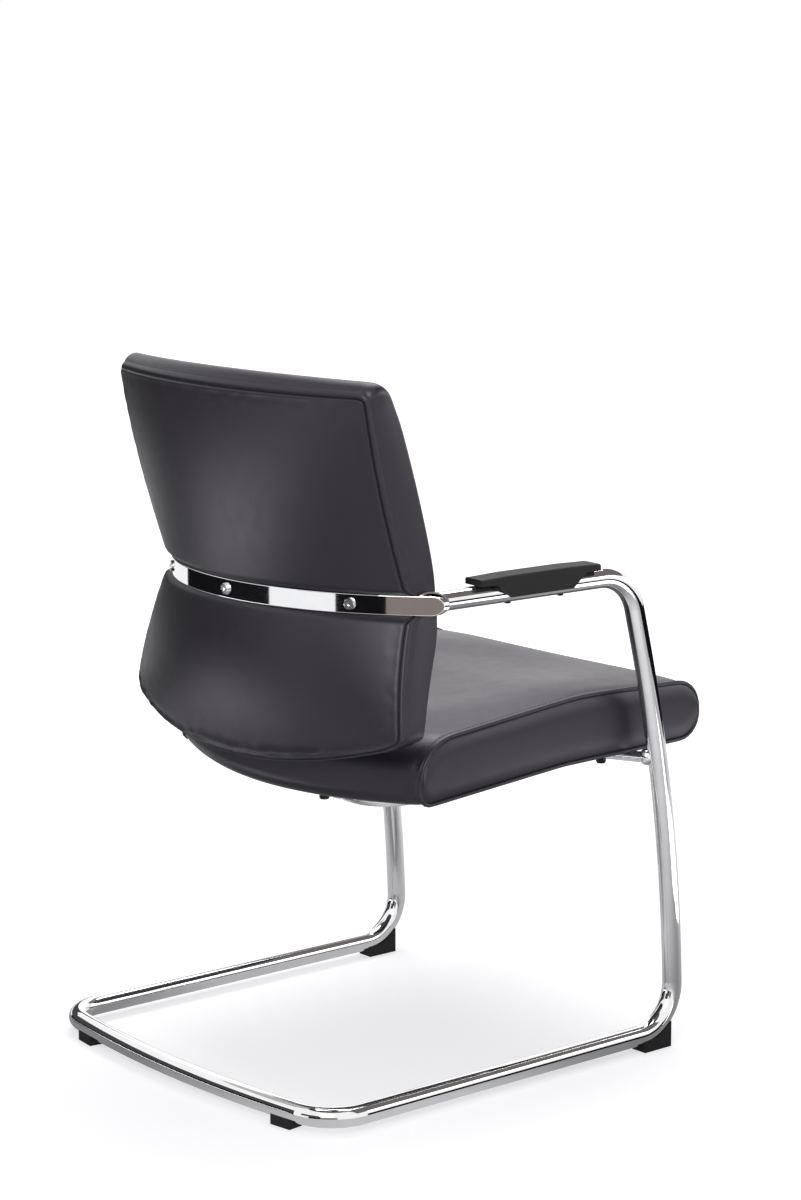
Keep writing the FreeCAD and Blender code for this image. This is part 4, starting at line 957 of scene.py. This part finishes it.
def light_path(tree, *names):
    """One where any of the named kinds of ray looks, none elsewhere."""
    rays = tree.nodes.new("ShaderNodeLightPath")
    total = rays.outputs[names[0]]
    for name in names[1:]:
        either = tree.nodes.new("ShaderNodeMath")
        either.operation = "MAXIMUM"
        tree.links.new(total, either.inputs[0])
        tree.links.new(rays.outputs[name], either.inputs[1])
        total = either.outputs[0]
    return total


def blend(tree, share, first, second):
    """Mix of two shaders."""
    node = tree.nodes.new("ShaderNodeMixShader")
    tree.links.new(share, node.inputs["Fac"])
    tree.links.new(first, node.inputs[1])
    tree.links.new(second, node.inputs[2])
    return node.outputs[0]


def glow(tree, colour, strength):
    """Surface that shines by itself."""
    node = tree.nodes.new("ShaderNodeEmission")
    node.inputs["Color"].default_value = (*colour, 1)
    node.inputs["Strength"].default_value = strength
    return node


def fade(tree, distance, near, far, low=0.0, high=1.0):
    """Number that goes from low to high between two distances from the chair's middle."""
    node = tree.nodes.new("ShaderNodeMapRange")
    tree.links.new(distance, node.inputs["Value"])
    node.inputs["From Min"].default_value = near
    node.inputs["From Max"].default_value = far
    node.inputs["To Min"].default_value = low
    node.inputs["To Max"].default_value = high
    return node.outputs["Result"]


# Distances from the chair's middle between which the floor turns white, as seen and as mirrored, and between
# which the chair's shade on the mirrored floor ends.
FLOOR_CLEAR = 1.0
FLOOR_WHITE = 2.1
MIRRORED_SHADE = 0.5
MIRRORED_OPEN = 1.4
MIRRORED_CLEAR = 2.3
MIRRORED_WHITE = 3.0
FLOOR_TINT = (0.985, 0.98, 1.0)
# Brightness that the floor glows with in reflections, by the direction from the chair, as shares of a turn
# from -X through -Y; these sectors paint the light and grey streaks in the chrome.
FLOOR_SECTORS = (
    (0.0, 0.75), (0.05, 0.5), (0.1, 0.36), (0.16, 0.6), (0.25, 0.8), (0.4, 0.85), (0.53, 0.8), (0.62, 0.45),
    (0.7, 0.38), (0.77, 0.6), (0.84, 0.9), (0.89, 1.0), (0.95, 0.95), (1.0, 0.75),
)


def mirrored_floor(tree, place, distance):
    """Glow of the floor in reflections: light and grey sectors near the chair, which paint the streaks in the
    chrome, white further out.
    """
    turn = tree.nodes.new("ShaderNodeTexGradient")
    turn.gradient_type = "RADIAL"
    tree.links.new(place, turn.inputs["Vector"])
    sectors = tree.nodes.new("ShaderNodeValToRGB")
    tree.links.new(turn.outputs["Fac"], sectors.inputs["Fac"])
    stops = sectors.color_ramp.elements
    while len(stops) < len(FLOOR_SECTORS):
        stops.new(0.5)
    for stop, (position, level) in zip(stops, FLOOR_SECTORS):
        stop.position = position
        stop.color = (*(level * tint for tint in FLOOR_TINT), 1)
    near = glow(tree, (1, 1, 1), 1.0)
    tree.links.new(sectors.outputs["Color"], near.inputs["Color"])
    shade = fade(tree, distance, MIRRORED_SHADE, MIRRORED_OPEN, 0.6)
    tree.links.new(shade, near.inputs["Strength"])
    white = glow(tree, (0.98, 0.98, 1.0), 1.0)
    whiteness = fade(tree, distance, MIRRORED_CLEAR, MIRRORED_WHITE)
    return blend(tree, whiteness, near.outputs[0], white.outputs[0])


def floor_material():
    """Pale floor that keeps the chair's shadow and turns to plain white further out."""
    material = bpy.data.materials.new("pale_floor")
    material.use_nodes = True
    tree = material.node_tree
    tree.nodes.clear()
    place = tree.nodes.new("ShaderNodeTexCoord")
    distance = tree.nodes.new("ShaderNodeVectorMath")
    distance.operation = "LENGTH"
    tree.links.new(place.outputs["Object"], distance.inputs[0])
    level = fade(tree, distance.outputs["Value"], FLOOR_CLEAR, FLOOR_WHITE, 0.6, 1.05)
    seen_glow = glow(tree, FLOOR_TINT, 1.0)
    tree.links.new(level, seen_glow.inputs["Strength"])
    shaded = tree.nodes.new("ShaderNodeBsdfDiffuse")
    shaded.inputs["Color"].default_value = (0.58, 0.58, 0.585, 1)
    seen = tree.nodes.new("ShaderNodeAddShader")
    tree.links.new(seen_glow.outputs[0], seen.inputs[0])
    tree.links.new(shaded.outputs[0], seen.inputs[1])
    lit = tree.nodes.new("ShaderNodeBsdfDiffuse")
    lit.inputs["Color"].default_value = (0.75, 0.75, 0.75, 1)
    # In reflections the floor is not lit but glows: painted light and grey sectors.
    mirrored = mirrored_floor(tree, place.outputs["Object"], distance.outputs["Value"])
    surface = blend(tree, light_path(tree, "Is Glossy Ray"), lit.outputs[0], mirrored)
    looked_at = light_path(tree, "Is Camera Ray", "Is Transmission Ray")
    surface = blend(tree, looked_at, surface, seen.outputs[0])
    output = tree.nodes.new("ShaderNodeOutputMaterial")
    tree.links.new(surface, output.inputs["Surface"])
    return material


FLOOR_REACH = 30.0
FLOOR_LEVEL = -0.3 * MM


def floor():
    """Wide plane just under the glides."""
    turns = ((-1, -1), (1, -1), (1, 1), (-1, 1))
    corners = [(x * FLOOR_REACH, y * FLOOR_REACH, FLOOR_LEVEL) for x, y in turns]
    mesh_object("floor", corners, [(0, 1, 2, 3)], floor_material())


def white_world(ambient):
    """White background to what is seen, a plain grey fill to what is lit."""
    world = bpy.data.worlds.new("studio")
    scene.world = world
    world.use_nodes = True
    tree = world.node_tree
    background = tree.nodes["Background"]
    level = tree.nodes.new("ShaderNodeMapRange")
    seen = light_path(tree, "Is Camera Ray", "Is Glossy Ray", "Is Transmission Ray")
    tree.links.new(seen, level.inputs["Value"])
    level.inputs["To Min"].default_value = ambient
    level.inputs["To Max"].default_value = 1.0
    tree.links.new(level.outputs["Result"], background.inputs["Strength"])
    background.inputs["Color"].default_value = (1, 1, 1, 1)


def around(angle, radius, height):
    """Place round the chair; angles in degrees from +Y towards -X."""
    turn = math.radians(angle)
    return Vector((-math.sin(turn) * radius, math.cos(turn) * radius, height))


def softbox(name, place, target, size, power):
    """Square area lamp that faces the target, with its power in watts."""
    light = bpy.data.lights.new(name, "AREA")
    light.size = size
    light.energy = power
    item = bpy.data.objects.new(name, light)
    item.location = place
    item.rotation_euler = (place - Vector(target)).to_track_quat("Z", "Y").to_euler()
    scene.collection.objects.link(item)


CARD_STEPS = 20
CARD_RADIUS = 2.7
CARD_LIFT = 0.003


def standing(low, high, radius=CARD_RADIUS):
    """Profile of an upright card."""
    return (radius, low), (radius, high)


def lying(near, far):
    """Profile of a card that lies on the floor."""
    return (near, CARD_LIFT), (far, CARD_LIFT)


def card(name, start, end, profile, colour, strength=1.0):
    """Curved glowing card round the chair, seen only in reflections, where it paints highlights, sheen or
    dark streaks; the profile is (radius, height) points.
    """
    vertices = []
    faces = []
    count = len(profile)
    for number in range(CARD_STEPS + 1):
        for radius, height in profile:
            vertices.append(around(mix(start, end, number / CARD_STEPS), radius, height))
    for number in range(CARD_STEPS):
        for place in range(count - 1):
            a = number * count + place
            faces.append((a, a + 1, a + count + 1, a + count))
    material = bpy.data.materials.new(name)
    material.use_nodes = True
    tree = material.node_tree
    tree.nodes.clear()
    output = tree.nodes.new("ShaderNodeOutputMaterial")
    tree.links.new(glow(tree, colour, strength).outputs[0], output.inputs["Surface"])
    item = mesh_object(name, vertices, faces, material)
    item.visible_camera = False
    item.visible_diffuse = False
    item.visible_shadow = False
    item.visible_transmission = False


DOME_RADIUS = 3.4
DOME_CENTRE = 0.3
DOME_STEPS = 8


def overhead(low, high):
    """Profile of a card on a dome, between two elevations in degrees."""
    profile = []
    for number in range(DOME_STEPS + 1):
        rise = math.radians(mix(low, high, number / DOME_STEPS))
        profile.append((DOME_RADIUS * math.cos(rise), DOME_CENTRE + DOME_RADIUS * math.sin(rise)))
    return profile


BLACK = (0.006, 0.006, 0.007)
WHITE = (1.0, 0.99, 1.0)
white_world(ambient=0.32)
floor()
softbox("overhead", Vector((0.5, -0.7, 3.0)), (0, 0, 0.5), 2.0, 60)
softbox("camera_side", around(38, 3.0, 2.1), (0, 0, 0.6), 1.6, 40)
# Glowing cards that only reflections see. The white ones, up to a strength of 4, paint the sheen on the
# leather and the bright streaks in the chrome. The dark and brown ones paint dark and brownish reflections,
# and floor_shade paints the chair's shade on the floor as mirrored.
card("card_left_high", -115, -24, standing(0.3, 1.3), (0.06, 0.057, 0.062))
card("card_left", -82, -24, standing(0.0, 0.3), BLACK)
card("card_small", 7, 28, standing(0.0, 0.45), BLACK)
card("card_small_high", -10, 28, standing(0.45, 1.2), (0.07, 0.067, 0.072))
card("card_brown", 28, 58, standing(0.0, 0.6), (0.24, 0.205, 0.19))
card("card_right", 112, 222, standing(0.0, 0.42), BLACK)
card("card_bright", 120, 178, standing(0.95, 1.45, 2.6), WHITE, 4.0)
card("floor_dark", -118, -64, lying(1.7, 2.69), (0.12, 0.12, 0.13))
card("floor_near", -56, -24, lying(1.25, 1.8), WHITE, 1.9)
card("floor_light", -56, -24, lying(1.8, 2.69), WHITE, 3.8)
card("floor_shade", -75, -10, lying(0.55, 1.05), (0.16, 0.16, 0.17))
card("floor_right", 108, 152, lying(0.95, 1.7), WHITE, 2.4)
card("backdrop", 208, 262, overhead(1, 40), WHITE, 1.3)
card("ceiling_front", 100, 208, overhead(28, 62), (0.16, 0.145, 0.14))
card("ceiling_left", 208, 305, overhead(41, 62), (0.5, 0.485, 0.48))
card("ceiling_top", -55, 305, overhead(62, 89), (0.06, 0.057, 0.057))


# The photograph's viewpoint, from the fitted camera.
CAMERA_PLACE = (-2.9474, 2.4322, 1.2464)
CAMERA_AZIMUTH = math.radians(230.07)
CAMERA_ELEVATION = math.radians(10.08)
CAMERA_LENS = 92.1
CAMERA_REACH = 100.0


def photo_camera():
    """Camera at the photograph's viewpoint."""
    level = Vector((math.sin(CAMERA_AZIMUTH), -math.cos(CAMERA_AZIMUTH), 0))
    away = level * math.cos(CAMERA_ELEVATION) + Vector((0, 0, math.sin(CAMERA_ELEVATION)))
    data = bpy.data.cameras.new("photo_camera")
    data.lens = CAMERA_LENS
    data.sensor_width = 36.0
    data.clip_end = CAMERA_REACH
    item = bpy.data.objects.new("photo_camera", data)
    item.location = CAMERA_PLACE
    item.rotation_euler = away.to_track_quat("Z", "Y").to_euler()
    scene.collection.objects.link(item)
    scene.camera = item


photo_camera()
scene.view_settings.view_transform = "Standard"
